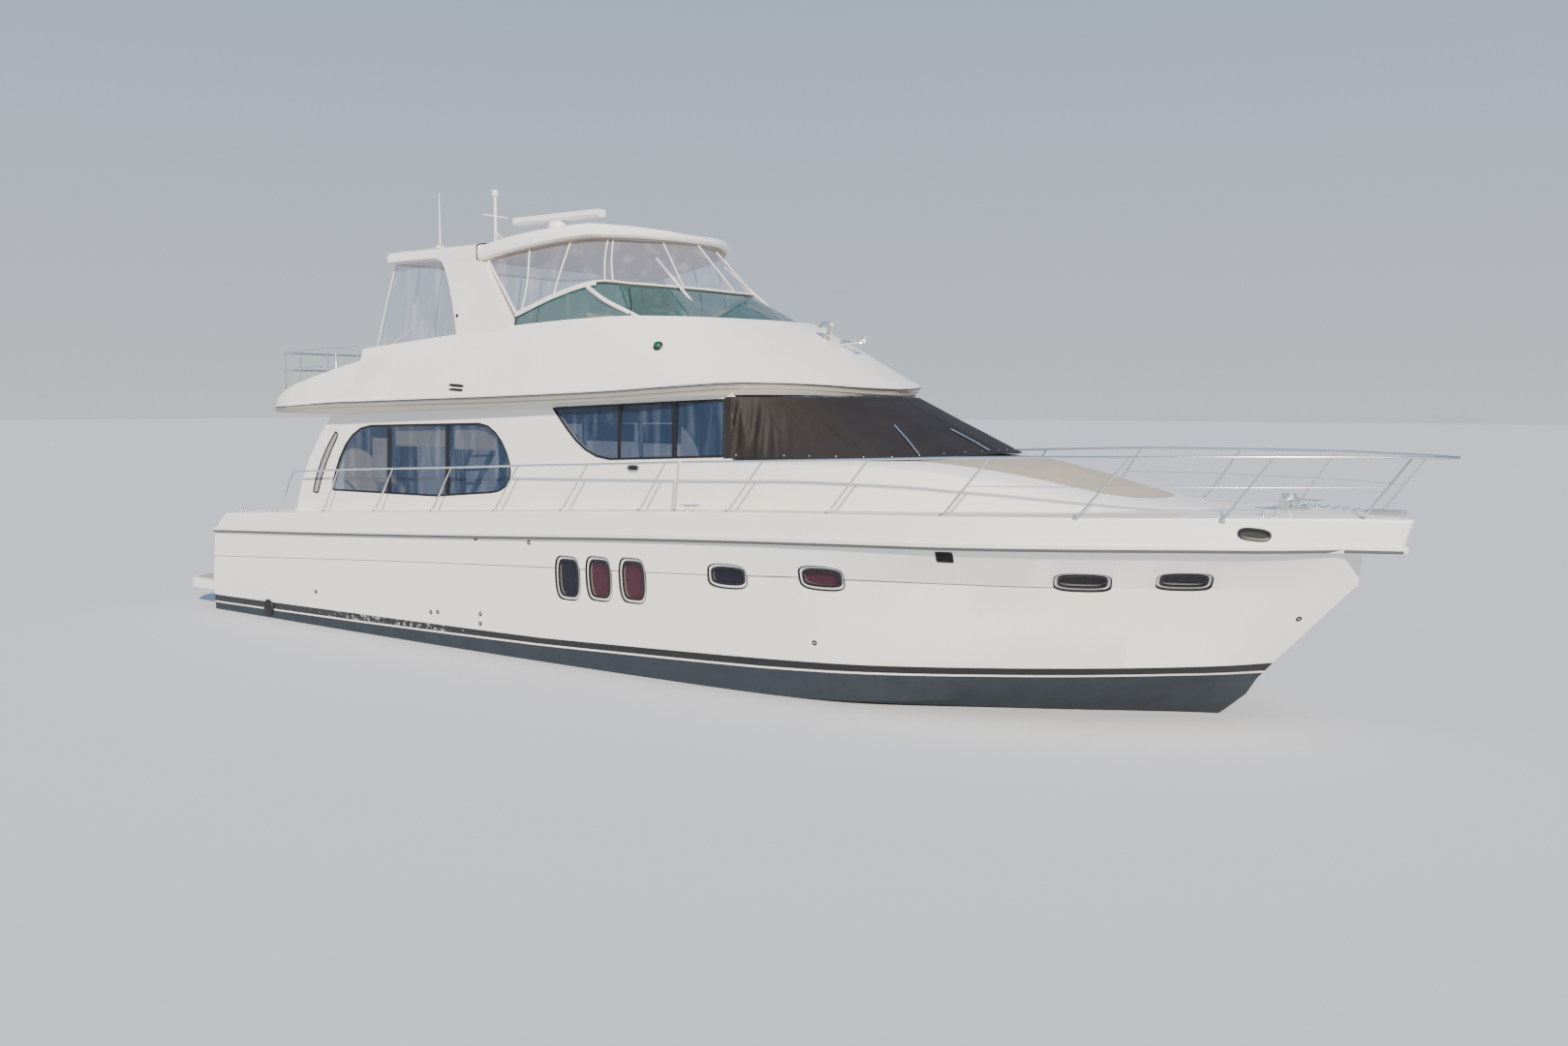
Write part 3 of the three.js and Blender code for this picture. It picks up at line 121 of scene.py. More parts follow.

# %% [markdown]
# ## Paint near the water
# Below the gelcoat the hull has a black boot stripe, a thin white line and antifouling. The
# antifouling is a soft matt paint that rubs off and grows a film, so it is blotchy. Pale specks
# on the black stripe between amidships and the stern are painted reflections of water ripples.

# %% Antifouling and boot stripe
# Along the hull: where the painted ripple reflections on the boot stripe are thickest, and the
# distances over which they thin out and are gone
RIPPLE_GLINTS_AT, RIPPLE_GLINTS_FULL, RIPPLE_GLINTS_GONE = -3.8, 0.8, 2.6


def antifouling():
    # Copper antifouling rolled on: matt, blotchy, darker where slime has settled
    material, place = start_material("antifouling_grey_blue", "#232a33", 0.75)
    blotch = add_node(material, "TexNoise", {
        "Vector": place, "Scale": 4.0, "Detail": 8.0, "Roughness": 0.65})
    add_node(material, "ValToRGB", {"Fac": blotch}, "Base Color", ("#1c2229", "#323c46"))
    # Roller texture, drawn at 8 mm where the real one is 2 mm, so that it shows
    stipple = add_node(material, "TexNoise", {"Vector": place, "Scale": 120.0, "Detail": 2.0})
    add_node(material, "Bump", {"Height": stipple, "Strength": 0.4, "Distance": 0.002}, "Normal")
    return material


def boot_stripe():
    # Black two-part enamel, glossy. Pale specks on it are painted reflections of water ripples;
    # the bar that a speck has to pass rises with the distance from where they are thickest.
    material, place = start_material("boot_stripe_enamel", "#17181b", 0.3)
    ripple_glints = add_node(material, "TexNoise", {
        "Vector": place, "Scale": 14.0, "Detail": 6.0, "Roughness": 0.7})
    along = add_node(material, "SeparateXYZ", {"Vector": place})
    shift = add_node(material, "Math", {0: along, 1: -RIPPLE_GLINTS_AT}, operation="ADD")
    distance = add_node(material, "Math", {0: shift}, operation="ABSOLUTE")
    bar = add_node(material, "MapRange", {
        "Value": distance, "From Min": RIPPLE_GLINTS_FULL, "From Max": RIPPLE_GLINTS_GONE, "To Min": 0.55,
        "To Max": 0.72})
    worn_and_glint = add_node(material, "Math", {0: ripple_glints, 1: bar}, operation="GREATER_THAN")
    add_node(material, "ValToRGB", {"Fac": worn_and_glint}, "Base Color", ("#17181b", "#8f9694"))
    add_node(material, "MapRange", {"Value": ripple_glints, "To Min": 0.22, "To Max": 0.55}, "Roughness")
    return material


ANTIFOULING = antifouling()
BOOT_STRIPE = boot_stripe()
print("hull paint:", ANTIFOULING.name, BOOT_STRIPE.name)

# %% [markdown]
# ## Non-skid, rubber and moulded plastic
# Decks that people walk on have a non-skid finish: a grey-tan gelcoat rolled so that it stands
# up in small peaks. The rub rail is a white vinyl section, and small fittings are black or
# white moulded plastic with a fine texture.

# %% Non-skid, rub rail, gaskets and plastics
def rough_finish(name, colour, darker, roughness, grain_mm, height_mm, **sockets):
    material, place = start_material(name, colour, roughness, **sockets)
    tone = add_node(material, "TexNoise", {
        "Vector": place, "Scale": 3.0, "Detail": 6.0, "Roughness": 0.6})
    add_node(material, "ValToRGB", {"Fac": tone}, "Base Color", (darker, colour))
    grain = add_node(material, "TexNoise", {"Vector": place, "Scale": 1000 / grain_mm})
    add_node(material, "Bump", {
        "Height": grain, "Strength": 0.6, "Distance": height_mm / 1000}, "Normal")
    return material


# Rolled non-skid gelcoat: peaks 2 mm apart, drawn 12 mm apart so that they show
PALE_NONSKID = rough_finish("nonskid_gelcoat_pale", "#dcd8cd", "#cdc8bb", 0.75, 12, 2.0)
NONSKID = rough_finish("nonskid_gelcoat_tan", "#b7ad9c", "#9d9383", 0.8, 12, 2.0)
# Extruded vinyl rub rail, scuffed from fenders, and a grey that is painted shade under the rail
# and on the ledge under the hull's knuckle
RUB_RAIL = rough_finish("rub_rail_vinyl", "#e9e8e3", "#d4d3cd", 0.42, 30, 0.6)
PAINTED_SHADE_GREY = rough_finish("rub_rail_shadow_vinyl", "#5a5c5e", "#484a4c", 0.5, 30, 0.4)
# Black extruded rubber round the glass
GASKET = rough_finish("gasket_rubber_black", "#121214", "#0c0c0e", 0.55, 20, 0.3)
# ABS mouldings with a fine spark-eroded grain, drawn at 8 mm so that it shows
BLACK_PLASTIC = rough_finish("abs_plastic_black", "#1d1e20", "#151618", 0.45, 8, 0.2)
WHITE_PLASTIC = rough_finish("abs_plastic_white", "#ecebe6", "#e0dfd9", 0.35, 8, 0.15)
print("rough finishes ready")

# %% [markdown]
# ## Glass and clear vinyl
# The cabin windows are dark blue tinted glass, the flybridge screen is teal acrylic and the
# curtains are clear vinyl. Alpha is used and not transmission, because it stays cheap to
# render and the export keeps it. A slow noise in the roughness stands for salt and rain marks.

# %% Glass, acrylic and vinyl
def clear_sheet(name, colour, alpha, roughness, ior, wave_mm, smear, haze=None):
    material, place = start_material(name, colour, roughness, IOR=ior, Alpha=alpha)
    if haze:
        # Dried salt runs down the pane in faint upright streaks
        tall = add_node(material, "Mapping", {"Vector": place, "Scale": (9, 9, 1.1)})
        runs = add_node(material, "TexNoise", {"Vector": tall, "Scale": 1.0, "Detail": 4.0})
        share = add_node(material, "MapRange", {"Value": runs, "From Min": 0.5, "From Max": 1.0})
        add_node(material, "ValToRGB", {"Fac": share}, "Base Color", (colour, haze))
    smears = add_node(material, "TexNoise", {"Vector": place, "Scale": 6.0, "Detail": 5.0})
    add_node(material, "MapRange", {
        "Value": smears, "To Min": roughness, "To Max": roughness + smear}, "Roughness")
    wave = add_node(material, "TexNoise", {"Vector": place, "Scale": 3.0, "Detail": 1.0})
    add_node(material, "Bump", {
        "Height": wave, "Strength": 0.4, "Distance": wave_mm / 1000}, "Normal")
    material.surface_render_method = "BLENDED"
    return material


# Toughened glass, tinted through: dark blue, mirror smooth
TINTED_GLASS = clear_sheet("tinted_glass_blue", "#22395a", 0.42, 0.02, 1.52, 2, 0.05, "#8393a6")
PORTLIGHT_GLASS = clear_sheet("portlight_glass", "#1a1a2c", 0.38, 0.02, 1.52, 1, 0.04)
# Cast acrylic, teal, bent over a former
TEAL_ACRYLIC = clear_sheet("acrylic_teal", "#2b5350", 0.46, 0.04, 1.49, 3, 0.06, "#5f8483")
# Plasticised PVC window vinyl: clear, soft and wavy
CLEAR_VINYL = clear_sheet("window_vinyl_clear", "#939db8", 0.34, 0.06, 1.53, 14, 0.12, "#e9edf5")
print("clear sheets ready")

# %% [markdown]
# ## Metals
# Rails and cleats are polished stainless steel, running gear is bronze and the engines are
# painted iron. Polished metal shows its surroundings, so only a faint brushing is added.

# %% Stainless steel, bronze and iron
def metal(name, colour, roughness, spread, grain_mm):
    material, place = start_material(name, colour, roughness, Metallic=1.0)
    grain = add_node(material, "TexNoise", {
        "Vector": place, "Scale": 1000 / grain_mm, "Detail": 3.0})
    add_node(material, "MapRange", {
        "Value": grain, "To Min": roughness, "To Max": roughness + spread}, "Roughness")
    return material


# Electropolished 316 stainless tube and castings
STAINLESS = metal("stainless_316_polished", "#e4e3df", 0.2, 0.14, 60)
# Nickel-aluminium bronze castings, dulled by the sea
BRONZE = metal("bronze_cast", "#a98553", 0.35, 0.3, 40)
# Cast iron engine blocks under grey heat-proof paint
IRON = metal("cast_iron_painted", "#858b90", 0.45, 0.25, 30)
print("metals ready")

# %% [markdown]
# ## Cloth and vinyl upholstery
# The windshield cover is a black woven acrylic cloth, the seats are cream marine vinyl, and
# the cabin has a short-pile carpet and pale pleated blinds. Woven cloth is two sets of crossed
# bands, so two wave textures are multiplied to give the weave.

# %% Woven cloth, marine vinyl, carpet and blinds
def woven(name, colour, thread_colour, thread_mm, sheen):
    # Threads run along X and Z of the boat, which the hanging cloth roughly follows
    material, place = start_material(
        name, colour, 0.7, Sheen_Weight=sheen, Specular_IOR_Level=0.4)
    scale = 1000 / thread_mm / 6.28
    warp, weft = [add_node(material, "TexWave", {"Vector": place, "Scale": scale},
                           bands_direction=axis).outputs["Fac"] for axis in "XZ"]
    weave = add_node(material, "Math", {0: warp, 1: weft}, operation="MULTIPLY")
    fade = add_node(material, "TexNoise", {"Vector": place, "Scale": 2.0, "Detail": 5.0})
    add_node(material, "ValToRGB", {"Fac": fade}, "Base Color", (colour, thread_colour))
    add_node(material, "Bump", {"Height": weave, "Strength": 0.3, "Distance": 0.001}, "Normal")
    return material


def leathery(name, colour, darker, grain_mm):
    # Marine vinyl embossed with a leather grain: soft sheen, small cells
    material, place = start_material(name, colour, 0.5, Sheen_Weight=0.1)
    cells = add_node(material, "TexVoronoi", {"Vector": place, "Scale": 1000 / grain_mm},
                     feature="DISTANCE_TO_EDGE")
    add_node(material, "Bump", {"Height": cells, "Strength": 0.3, "Distance": 0.001}, "Normal")
    tone = add_node(material, "TexNoise", {"Vector": place, "Scale": 5.0, "Detail": 4.0})
    add_node(material, "ValToRGB", {"Fac": tone}, "Base Color", (darker, colour))
    return material


# Solution-dyed acrylic canvas, threads of 0.6 mm drawn at 8 mm so that they show
CANVAS = woven("acrylic_canvas_black", "#292422", "#171412", 8, 0.0)
# Knotless polyester webbing and zip tape
ZIP_TAPE = woven("zip_tape_white", "#e7e6e1", "#d8d7d1", 4, 0.1)
# Pleated polyester blinds
BLIND = woven("pleated_blind_cream", "#d9d5ca", "#c9c4b7", 10, 0.2)
MAROON_BLIND = woven("pleated_blind_maroon", "#a04a58", "#8a3c4a", 10, 0.2)
NAVY_BLIND = woven("pleated_blind_navy", "#26283a", "#1c1d2c", 10, 0.2)
# Marine vinyl with a grain of 1 mm cells, drawn at 6 mm
CREAM_VINYL = leathery("marine_vinyl_cream", "#e6dfce", "#d8d0bd", 6)
# Perforated vinyl headliner
LINING = leathery("headliner_vinyl_beige", "#dcc6a8", "#cdb594", 6)
# Cut-pile polypropylene carpet, tufts of 3 mm drawn at 10 mm
CARPET = rough_finish("carpet_beige", "#b7a98e", "#9b8d72", 0.95, 10, 3.0, Sheen_Weight=0.3)
print("soft finishes ready")

# %% [markdown]
# The CAD gives its solids a slot each, such as gelcoat or stainless, so that the finish can be
# changed later. Port and starboard have the same pieces, so most of what follows runs over both
# sides.

# %% Sides of the boat
SIDES = ((-1, "starboard"), (1, "port"))

# %% [markdown]
# ## Camera, floor and light
# The photograph was taken from a low quay off the starboard bow, a little above deck height.
# The camera place was solved from the boat's own lines. The floor stands where the water was,
# at the waterline, so the underbody is hidden as it is afloat. A large soft sun comes from
# the starboard quarter, as in the photograph, and a pale blue sky fills the shaded bow.

# %% Camera
def aim_camera(place, yaw, pitch, roll, lens):
    data = bpy.data.cameras.new("camera")
    data.lens = lens
    data.sensor_width = 36
    data.clip_end = 900
    camera = bpy.data.objects.new("camera", data)
    bpy.context.scene.collection.objects.link(camera)
    turns = [Matrix.Rotation(math.radians(angle), 4, axis)
             for angle, axis in ((yaw, "Z"), (90 + pitch, "X"), (roll, "Z"))]
    camera.matrix_world = Matrix.Translation(place) @ turns[0] @ turns[1] @ turns[2]
    bpy.context.scene.camera = camera
    return camera


camera = aim_camera((11.69, -14.061, 3.201), 36.126, -4.935, 0.139, 31.45)
print("camera at", tuple(round(value, 2) for value in camera.location))

# %% Floor
def lay_floor(half):
    shape = bmesh.new()
    bmesh.ops.create_grid(shape, x_segments=1, y_segments=1, size=half)
    mesh = bpy.data.meshes.new("floor")
    shape.to_mesh(mesh)
    shape.free()
    floor = bpy.data.objects.new("floor", mesh)
    bpy.context.scene.collection.objects.link(floor)
    mesh.materials.append(start_material("floor_pale", "#c9cdd0", 0.9)[0])


lay_floor(260)

# %% Light
def add_sun(name, towards, strength, angle, colour):
    data = bpy.data.lights.new(name, "SUN")
    data.energy = strength
    data.angle = math.radians(angle)
    data.color = linear(colour)[:3]
    sun = bpy.data.objects.new(name, data)
    sun.rotation_euler = Vector(towards).to_track_quat("Z", "Y").to_euler()
    bpy.context.scene.collection.objects.link(sun)


def light_sky(top, horizon, strength):
    world = bpy.data.worlds.new("sky")
    bpy.context.scene.world = world
    world.use_nodes = True
    tree = world.node_tree
    place = tree.nodes.new("ShaderNodeTexCoord")
    split = tree.nodes.new("ShaderNodeSeparateXYZ")
    stops = tree.nodes.new("ShaderNodeValToRGB")
    tree.links.new(place.outputs["Generated"], split.inputs["Vector"])
    tree.links.new(split.outputs["Z"], stops.inputs["Fac"])
    stops.color_ramp.elements[0].color = linear(horizon)
    stops.color_ramp.elements[1].color = linear(top)
    stops.color_ramp.elements[1].position = 0.6
    tree.links.new(stops.outputs["Color"], tree.nodes["Background"].inputs["Color"])
    tree.nodes["Background"].inputs["Strength"].default_value = strength


add_sun("sun_key", (0.62, -0.56, 0.50), 7.0, 3, "#fff0dc")
add_sun("sun_fill", (-0.75, -0.35, 0.55), 0.35, 60, "#c4daf5")
light_sky("#7fa9de", "#e2e8ee", 0.9)

# %% [markdown]
# ## Making a piece
# Every piece is shaped in a bmesh, in metres, in the boat's own frame: X to the bow, Y to port
# and Z up from the waterline. One function turns the bmesh into an object that rides on a body
# of the boat, takes its materials, and may stand in for a CAD solid. Edges that turn
# more than a set angle stay sharp, the others are shaded smooth.

# %% Finish a piece
def placed(piece, body):
    bpy.context.scene.collection.objects.link(piece)
    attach(piece, body)
    return piece


def finish_piece(name, shape, materials, body="boat", crease=30, replaces=()):
    """A piece from a bmesh, with its materials in the given order"""
    for face in shape.faces:
        face.smooth = True
    for edge in shape.edges:
        edge.smooth = len(edge.link_faces) == 2 and edge.calc_face_angle(0) < math.radians(crease)
    mesh = bpy.data.meshes.new(name)
    shape.to_mesh(mesh)
    shape.free()
    for material in materials:
        mesh.materials.append(material)
    piece = placed(bpy.data.objects.new(name, mesh), body)
    if replaces:
        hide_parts(*replaces)
    return piece


def merged_copy(*names):
    shape = bmesh.new()
    for name in names:
        shape.from_mesh(nodes[name].data)
    bmesh.ops.remove_doubles(shape, verts=shape.verts, dist=0.00005)
    return shape


def smooth_copy(node, material, body="boat", crease=30):
    return finish_piece(node + "_finished", merged_copy(node), [material], body, crease,
                        [node])


def tube(name, points, radius, material, body="boat", closed=False, sides=3):
    """A round bar along points; its bevel curve gets sides + 1 steps to a quarter turn"""
    data = bpy.data.curves.new(name, "CURVE")
    data.dimensions = "3D"
    data.bevel_depth = radius
    data.bevel_resolution = sides
    data.use_fill_caps = not closed
    spline = data.splines.new("POLY")
    spline.points.add(len(points) - 1)
    for knot, point in zip(spline.points, points):
        knot.co = (*point, 1)
    spline.use_cyclic_u = closed
    data.materials.append(material)
    return placed(bpy.data.objects.new(name, data), body)


# %% Lines through points
def value_on(line, x):
    for (x0, v0), (x1, v1) in zip(line, line[1:]):
        if x <= x1 or (x1, v1) == line[-1]:
            return v0 + (v1 - v0) * (min(max(x, line[0][0]), line[-1][0]) - x0) / (x1 - x0)


def fair_line(points, count):
    """Points at even steps of a smooth curve through the given points"""
    corners = [Vector(p) for p in points]
    ends = [corners[0] * 2 - corners[1]] + corners + [corners[-1] * 2 - corners[-2]]
    steps = []
    for i in range(count + 1):
        k = min(int(i * (len(corners) - 1) / count), len(corners) - 2)
        t = i * (len(corners) - 1) / count - k
        a, b, c, d = ends[k:k + 4]
        steps.append(0.5 * (2 * b + (c - a) * t + (2 * a - 5 * b + 4 * c - d) * t ** 2
                            + (3 * b - 3 * c + d - a) * t ** 3))
    return steps


def mirrored(points):
    return [Vector((p[0], -p[1], p[2])) for p in points]


print("helpers ready")

# %% [markdown]
# ## Placing things on the skin
# Portlights, vents and fittings sit on curved skin. A ray shot from the side finds the skin,
# and a small frame of axes is set up there: u runs along the boat, v runs up and n points out.
# Pieces are shaped flat in that frame and then carried to the boat by its matrix.

# %% Find a place on the skin
def skin_of(*names):
    shape = merged_copy(*names)
    tree = BVHTree.FromBMesh(shape)
    shape.free()
    return tree


def frame_at(tree, start, direction, up=(0, 0, 1)):
    hit, normal = tree.ray_cast(Vector(start), Vector(direction).normalized())[:2]
    if normal.dot(Vector(direction)) > 0:
        normal = -normal
    u = Vector(up).cross(normal).normalized()
    v = normal.cross(u)
    turn = Matrix((u, v, normal)).transposed().to_4x4()
    return Matrix.Translation(hit) @ turn


def side_frame(tree, x, z, side):
    return frame_at(tree, (x, side * 6, z), (0, -side, 0))


hull_skin = skin_of("hull")
print("hull half breadth amidships:", round(side_frame(hull_skin, 0, 1.0, -1).translation.y, 3))

# %% [markdown]
# ## Hull
# The hull is one fibreglass moulding. Its paint is split along the waterline, and a moulded
# knuckle runs along the topsides. Both are lines drawn on the skin, so the mesh is cut along
# them. A plane can't follow a curved line, but if the mesh is first sheared so that the line
# lies level, a bisection at height zero cuts along it, and the shear is then taken back.

# %% Cut along a line seen from the side
def split_along(shape, line):
    for vert in shape.verts:
        vert.co.z -= value_on(line, vert.co.x)
    everything = shape.verts[:] + shape.edges[:] + shape.faces[:]
    bmesh.ops.bisect_plane(shape, geom=everything, dist=1e-6, plane_co=(0, 0, 0),
                           plane_no=(0, 0, 1))
    for vert in shape.verts:
        vert.co.z += value_on(line, vert.co.x)


def lowered(line, drop):
    return [(x, z - drop) for x, z in line]


BOOT_TOP = [(-7.74, 0.23), (-4.4, 0.27), (-0.63, 0.31), (2.74, 0.42), (3.92, 0.46), (5.1, 0.51),
            (5.96, 0.54), (6.75, 0.57), (7.6, 0.60)]
BOOT_LOW = [(-7.74, 0.13), (-4.4, 0.17), (-0.63, 0.23), (2.74, 0.33), (3.92, 0.38), (5.1, 0.43),
            (5.96, 0.46), (6.75, 0.49), (7.6, 0.51)]
WHITE_LOW = lowered(BOOT_LOW, 0.022)
KNUCKLE = [(-7.95, 0.84), (-3.63, 1.07), (-0.57, 1.21), (1.62, 1.29), (3.23, 1.37), (4.15, 1.39),
           (5.12, 1.40), (6.2, 1.405)]

LEDGE, KNUCKLE_END = 0.010, 6.1

hull = merged_copy("hull")
for line in (BOOT_TOP, BOOT_LOW, WHITE_LOW, KNUCKLE, lowered(KNUCKLE, LEDGE)):
    split_along(hull, line)
print("hull cut into", len(hull.faces), "faces")

# %% [markdown]
# The knuckle is a small overhang: below the line the topsides stand 13 mm further in, and the
# ledge between throws a fine shadow. It fades out towards the bow, so the push fades with it.

# %% Push in the topsides below the knuckle
def on_topsides(x, y):
    return abs(y) > 1.3 and x < KNUCKLE_END


def push_knuckle(shape, step):
    moved = 0
    for vert in shape.verts:
        x, y, z = vert.co
        if abs(z - value_on(KNUCKLE, x) + LEDGE) < 0.0005 and on_topsides(x, y):
            vert.co.y -= math.copysign(step, y) * min(1, (KNUCKLE_END - x) / 2.0)
            moved += 1
    return moved


print(push_knuckle(hull, 0.013), "points moved in under the knuckle")

# %% Paint the bands
def height_over(face, line):
    return sum(vert.co.z - value_on(line, vert.co.x) for vert in face.verts) / len(face.verts)


def paint_bands(shape):
    for face in shape.faces:
        # The ledge under the knuckle is painted grey as shade
        if -LEDGE < height_over(face, KNUCKLE) < 0 and on_topsides(*face.calc_center_median().xy):
            face.material_index = 3
        elif height_over(face, BOOT_TOP) > 0:
            face.material_index = 0
        elif height_over(face, BOOT_LOW) > 0:
            face.material_index = 1
        elif height_over(face, WHITE_LOW) > 0:
            face.material_index = 0
        else:
            face.material_index = 2


paint_bands(hull)
# The Boolean below cuts long slivers badly, so they are divided first
bmesh.ops.triangulate(hull, faces=hull.faces)
print([sum(face.material_index == k for face in hull.faces) for k in range(4)], "faces per band")

# %% [markdown]
# ## Portlights
# Three tall and four long portlights a side sit in pockets moulded into the hull, each with a
# black seal round a white shelf, a black frame, dark glass and a blind behind it. A pocket
# could be modelled by hand into the skin, but a Boolean cut with a plug keeps the skin fair
# round it. The outlines are superellipses, made from a circle by powers of its coordinates.

# %% Portlight outlines
PORTLIGHTS = (
    # x, z, width, height, squareness along and up, blind
    (-0.15, 1.10, 0.34, 0.46, 5.0, 2.7, NAVY_BLIND),
    (0.37, 1.13, 0.34, 0.46, 5.0, 2.7, MAROON_BLIND),
    (0.91, 1.15, 0.34, 0.46, 5.0, 2.7, MAROON_BLIND),
    (2.31, 1.31, 0.46, 0.20, 2.7, 4.6, NAVY_BLIND),
    (3.53, 1.37, 0.47, 0.205, 2.7, 4.6, MAROON_BLIND),
    (6.18, 1.46, 0.48, 0.185, 2.7, 4.6, NAVY_BLIND),
    (7.04, 1.49, 0.46, 0.185, 2.7, 4.6, NAVY_BLIND),
)
# Each part is a run of ovals, given as (depth, growth over the outline)
POCKET = ((-0.075, 0.0), (-0.024, 0.0), (-0.022, 0.036), (0.0, 0.042), (0.06, 0.046))
FRAME = ((-0.030, 0.004), (-0.014, 0.004), (-0.010, -0.004), (-0.016, -0.018), (-0.030, -0.018))
SEAL = ((-0.022, 0.038), (0.001, 0.044), (0.003, 0.040), (-0.004, 0.032), (-0.022, 0.030))
PANE = ((-0.026, -0.016), (-0.022, -0.016))
BLIND_PLATE = ((-0.074, -0.002), (-0.071, -0.002))


def oval_ring(shape, a, b, powers, depth, segments):
    ring = bmesh.ops.create_circle(shape, segments=segments, radius=1)["verts"]
    for vert in ring:
        x, y = vert.co.xy
        vert.co = (a * math.copysign(abs(x) ** (2 / powers[0]), x),
                   b * math.copysign(abs(y) ** (2 / powers[1]), y), depth)
    return list({edge for vert in ring for edge in vert.link_edges})


def loft(shape, rings, ends):
    pairs = list(zip(rings, rings[1:]))
    if ends == "joined":
        pairs.append((rings[-1], rings[0]))
    for near, far in pairs:
        bmesh.ops.bridge_loops(shape, edges=near + far)
    if ends == "capped":
        for ring in (rings[0], rings[-1]):
            bmesh.ops.contextual_create(shape, geom=ring)
    bmesh.ops.recalc_face_normals(shape, faces=shape.faces)


def oval_plug(a, b, powers, levels, ends="capped", segments=48):
    """A plug, or a ring with joined ends, through ovals given as (depth, growth)"""
    shape = bmesh.new()
    loft(shape, [oval_ring(shape, a + grow, b + grow, powers, depth, segments)
                 for depth, grow in levels], ends)
    return shape


print(len(PORTLIGHTS), "portlights a side")

# %% Carve the pockets
def carve(shape, cutter):
    """The shape with the cutter taken out of it by a Boolean modifier"""
    helpers = []
    for label, source in (("carved", shape), ("cutter", cutter)):
        mesh = bpy.data.meshes.new(label)
        source.to_mesh(mesh)
        source.free()
        helper = bpy.data.objects.new(label, mesh)
        bpy.context.scene.collection.objects.link(helper)
        helpers.append(helper)
    modifier = helpers[0].modifiers.new("carve", "BOOLEAN")
    modifier.object = helpers[1]
    modifier.operation = "DIFFERENCE"
    modifier.solver = "EXACT"
    result = bmesh.new()
    result.from_object(helpers[0], bpy.context.evaluated_depsgraph_get())
    for helper in helpers:
        bpy.data.objects.remove(helper)
    return result


def absorb(shape, extra, place):
    """Adds a small bmesh, carried to its place, to a larger one"""
    mesh = bpy.data.meshes.new("part")
    extra.to_mesh(mesh)
    extra.free()
    mesh.transform(place)
    shape.from_mesh(mesh)
    bpy.data.meshes.remove(mesh)


def portlights(side, levels, ends="capped", wanted=(NAVY_BLIND, MAROON_BLIND)):
    """One part of all portlights of a side that have a wanted blind, in one bmesh"""
    shape = bmesh.new()
    for x, z, width, height, along, up, blind in PORTLIGHTS:
        if blind in wanted:
            part = oval_plug(width / 2, height / 2, (along, up), levels, ends)
            absorb(shape, part, side_frame(hull_skin, x, z, side))
    return shape


pockets = portlights(-1, POCKET)
absorb(pockets, portlights(1, POCKET), Matrix())
hull = carve(hull, pockets)
print("hull with pockets:", len(hull.faces), "faces")

# %% Finish the hull
finish_piece("hull_finished", hull, [WHITE_GELCOAT, BOOT_STRIPE, ANTIFOULING, PAINTED_SHADE_GREY],
             crease=26, replaces=["hull"])

# %% [markdown]
# Each portlight then gets its frame, a black ring of square section, its glass and its blind.
# They are joined by kind, so that the seven frames of a side are one piece.

# %% Portlight frames, glass and blinds
for side, word in SIDES:
    finish_piece("portlight_frames_" + word, portlights(side, FRAME, "joined"), [BLACK_PLASTIC])
    finish_piece("portlight_seals_" + word, portlights(side, SEAL, "joined"), [GASKET])
    finish_piece("portlight_glass_" + word, portlights(side, PANE), [PORTLIGHT_GLASS])
    for blind in (NAVY_BLIND, MAROON_BLIND):
        finish_piece("portlight_%s_%s" % (blind.name, word),
                     portlights(side, BLIND_PLATE, wanted=(blind,)), [blind])
print("portlights finished")

# %% [markdown]
# ## Rub rail, platform and skin fittings
# The rub rail covers the joint between hull and deck: a white vinyl section whose downward faces
# are painted grey as shade.
# Along the hull there are drains, a flap over each exhaust and a louvred vent near the bow.
# Round fittings are turned: a profile is spun a full turn and its doubles are merged.

# %% Rub rail
rail = merged_copy("rub_rail")
# Faces that look down are painted grey as the shade under the rail
for face in rail.faces:
    face.normal_update()
    face.material_index = 1 if face.normal.z < -0.25 else 0
finish_piece("rub_rail_finished", rail, [RUB_RAIL, PAINTED_SHADE_GREY], crease=40, replaces=["rub_rail"])
print("rub rail finished")

# %% Turned fittings
def spun(profile, steps, close=False, merge=1e-5):
    """A bmesh turned round Z from a profile given as points in the XZ plane"""
    shape = bmesh.new()
    knots = [shape.verts.new(point) for point in profile]
    edges = [shape.edges.new(pair) for pair in zip(knots, knots[1:] + knots[:1] * close)]
    bmesh.ops.spin(shape, geom=knots + edges, cent=(0, 0, 0), axis=(0, 0, 1),
                   angle=2 * math.pi, steps=steps, use_merge=True)
    bmesh.ops.remove_doubles(shape, verts=shape.verts, dist=merge)
    bmesh.ops.recalc_face_normals(shape, faces=shape.faces)
    return shape


def turned(name, profile, place, material, steps=24):
    """A fitting turned from a profile of (radius, height) along the place's own normal"""
    shape = spun([(radius, 0, height) for radius, height in profile], steps)
    shape.transform(place)
    return finish_piece(name, shape, [material], crease=35)


DRAINS = [(-2.737, 0.442), (-2.597, 0.456), (-1.754, 0.509), (-1.770, 0.380), (-0.815, 1.495),
          (-1.814, 1.482), (7.884, 1.098), (-5.3, 0.50), (3.4, 0.66)]
DRAIN = [(0, -0.01), (0.030, -0.01), (0.030, 0.004), (0.024, 0.009), (0.014, 0.008),
         (0.012, -0.004), (0, -0.004)]
FLAP = [(0, -0.01), (0.125, -0.01), (0.125, 0.010), (0.115, 0.022), (0.03, 0.030), (0, 0.030)]
for side, word in SIDES:
    for number, (x, z) in enumerate(DRAINS):
        turned("drain_%d_%s" % (number, word), DRAIN, side_frame(hull_skin, x, z, side), GASKET)
    turned("exhaust_flap_" + word, FLAP, side_frame(hull_skin, -6.54, 0.157, side), GASKET)
print("drains and exhaust flaps fitted")

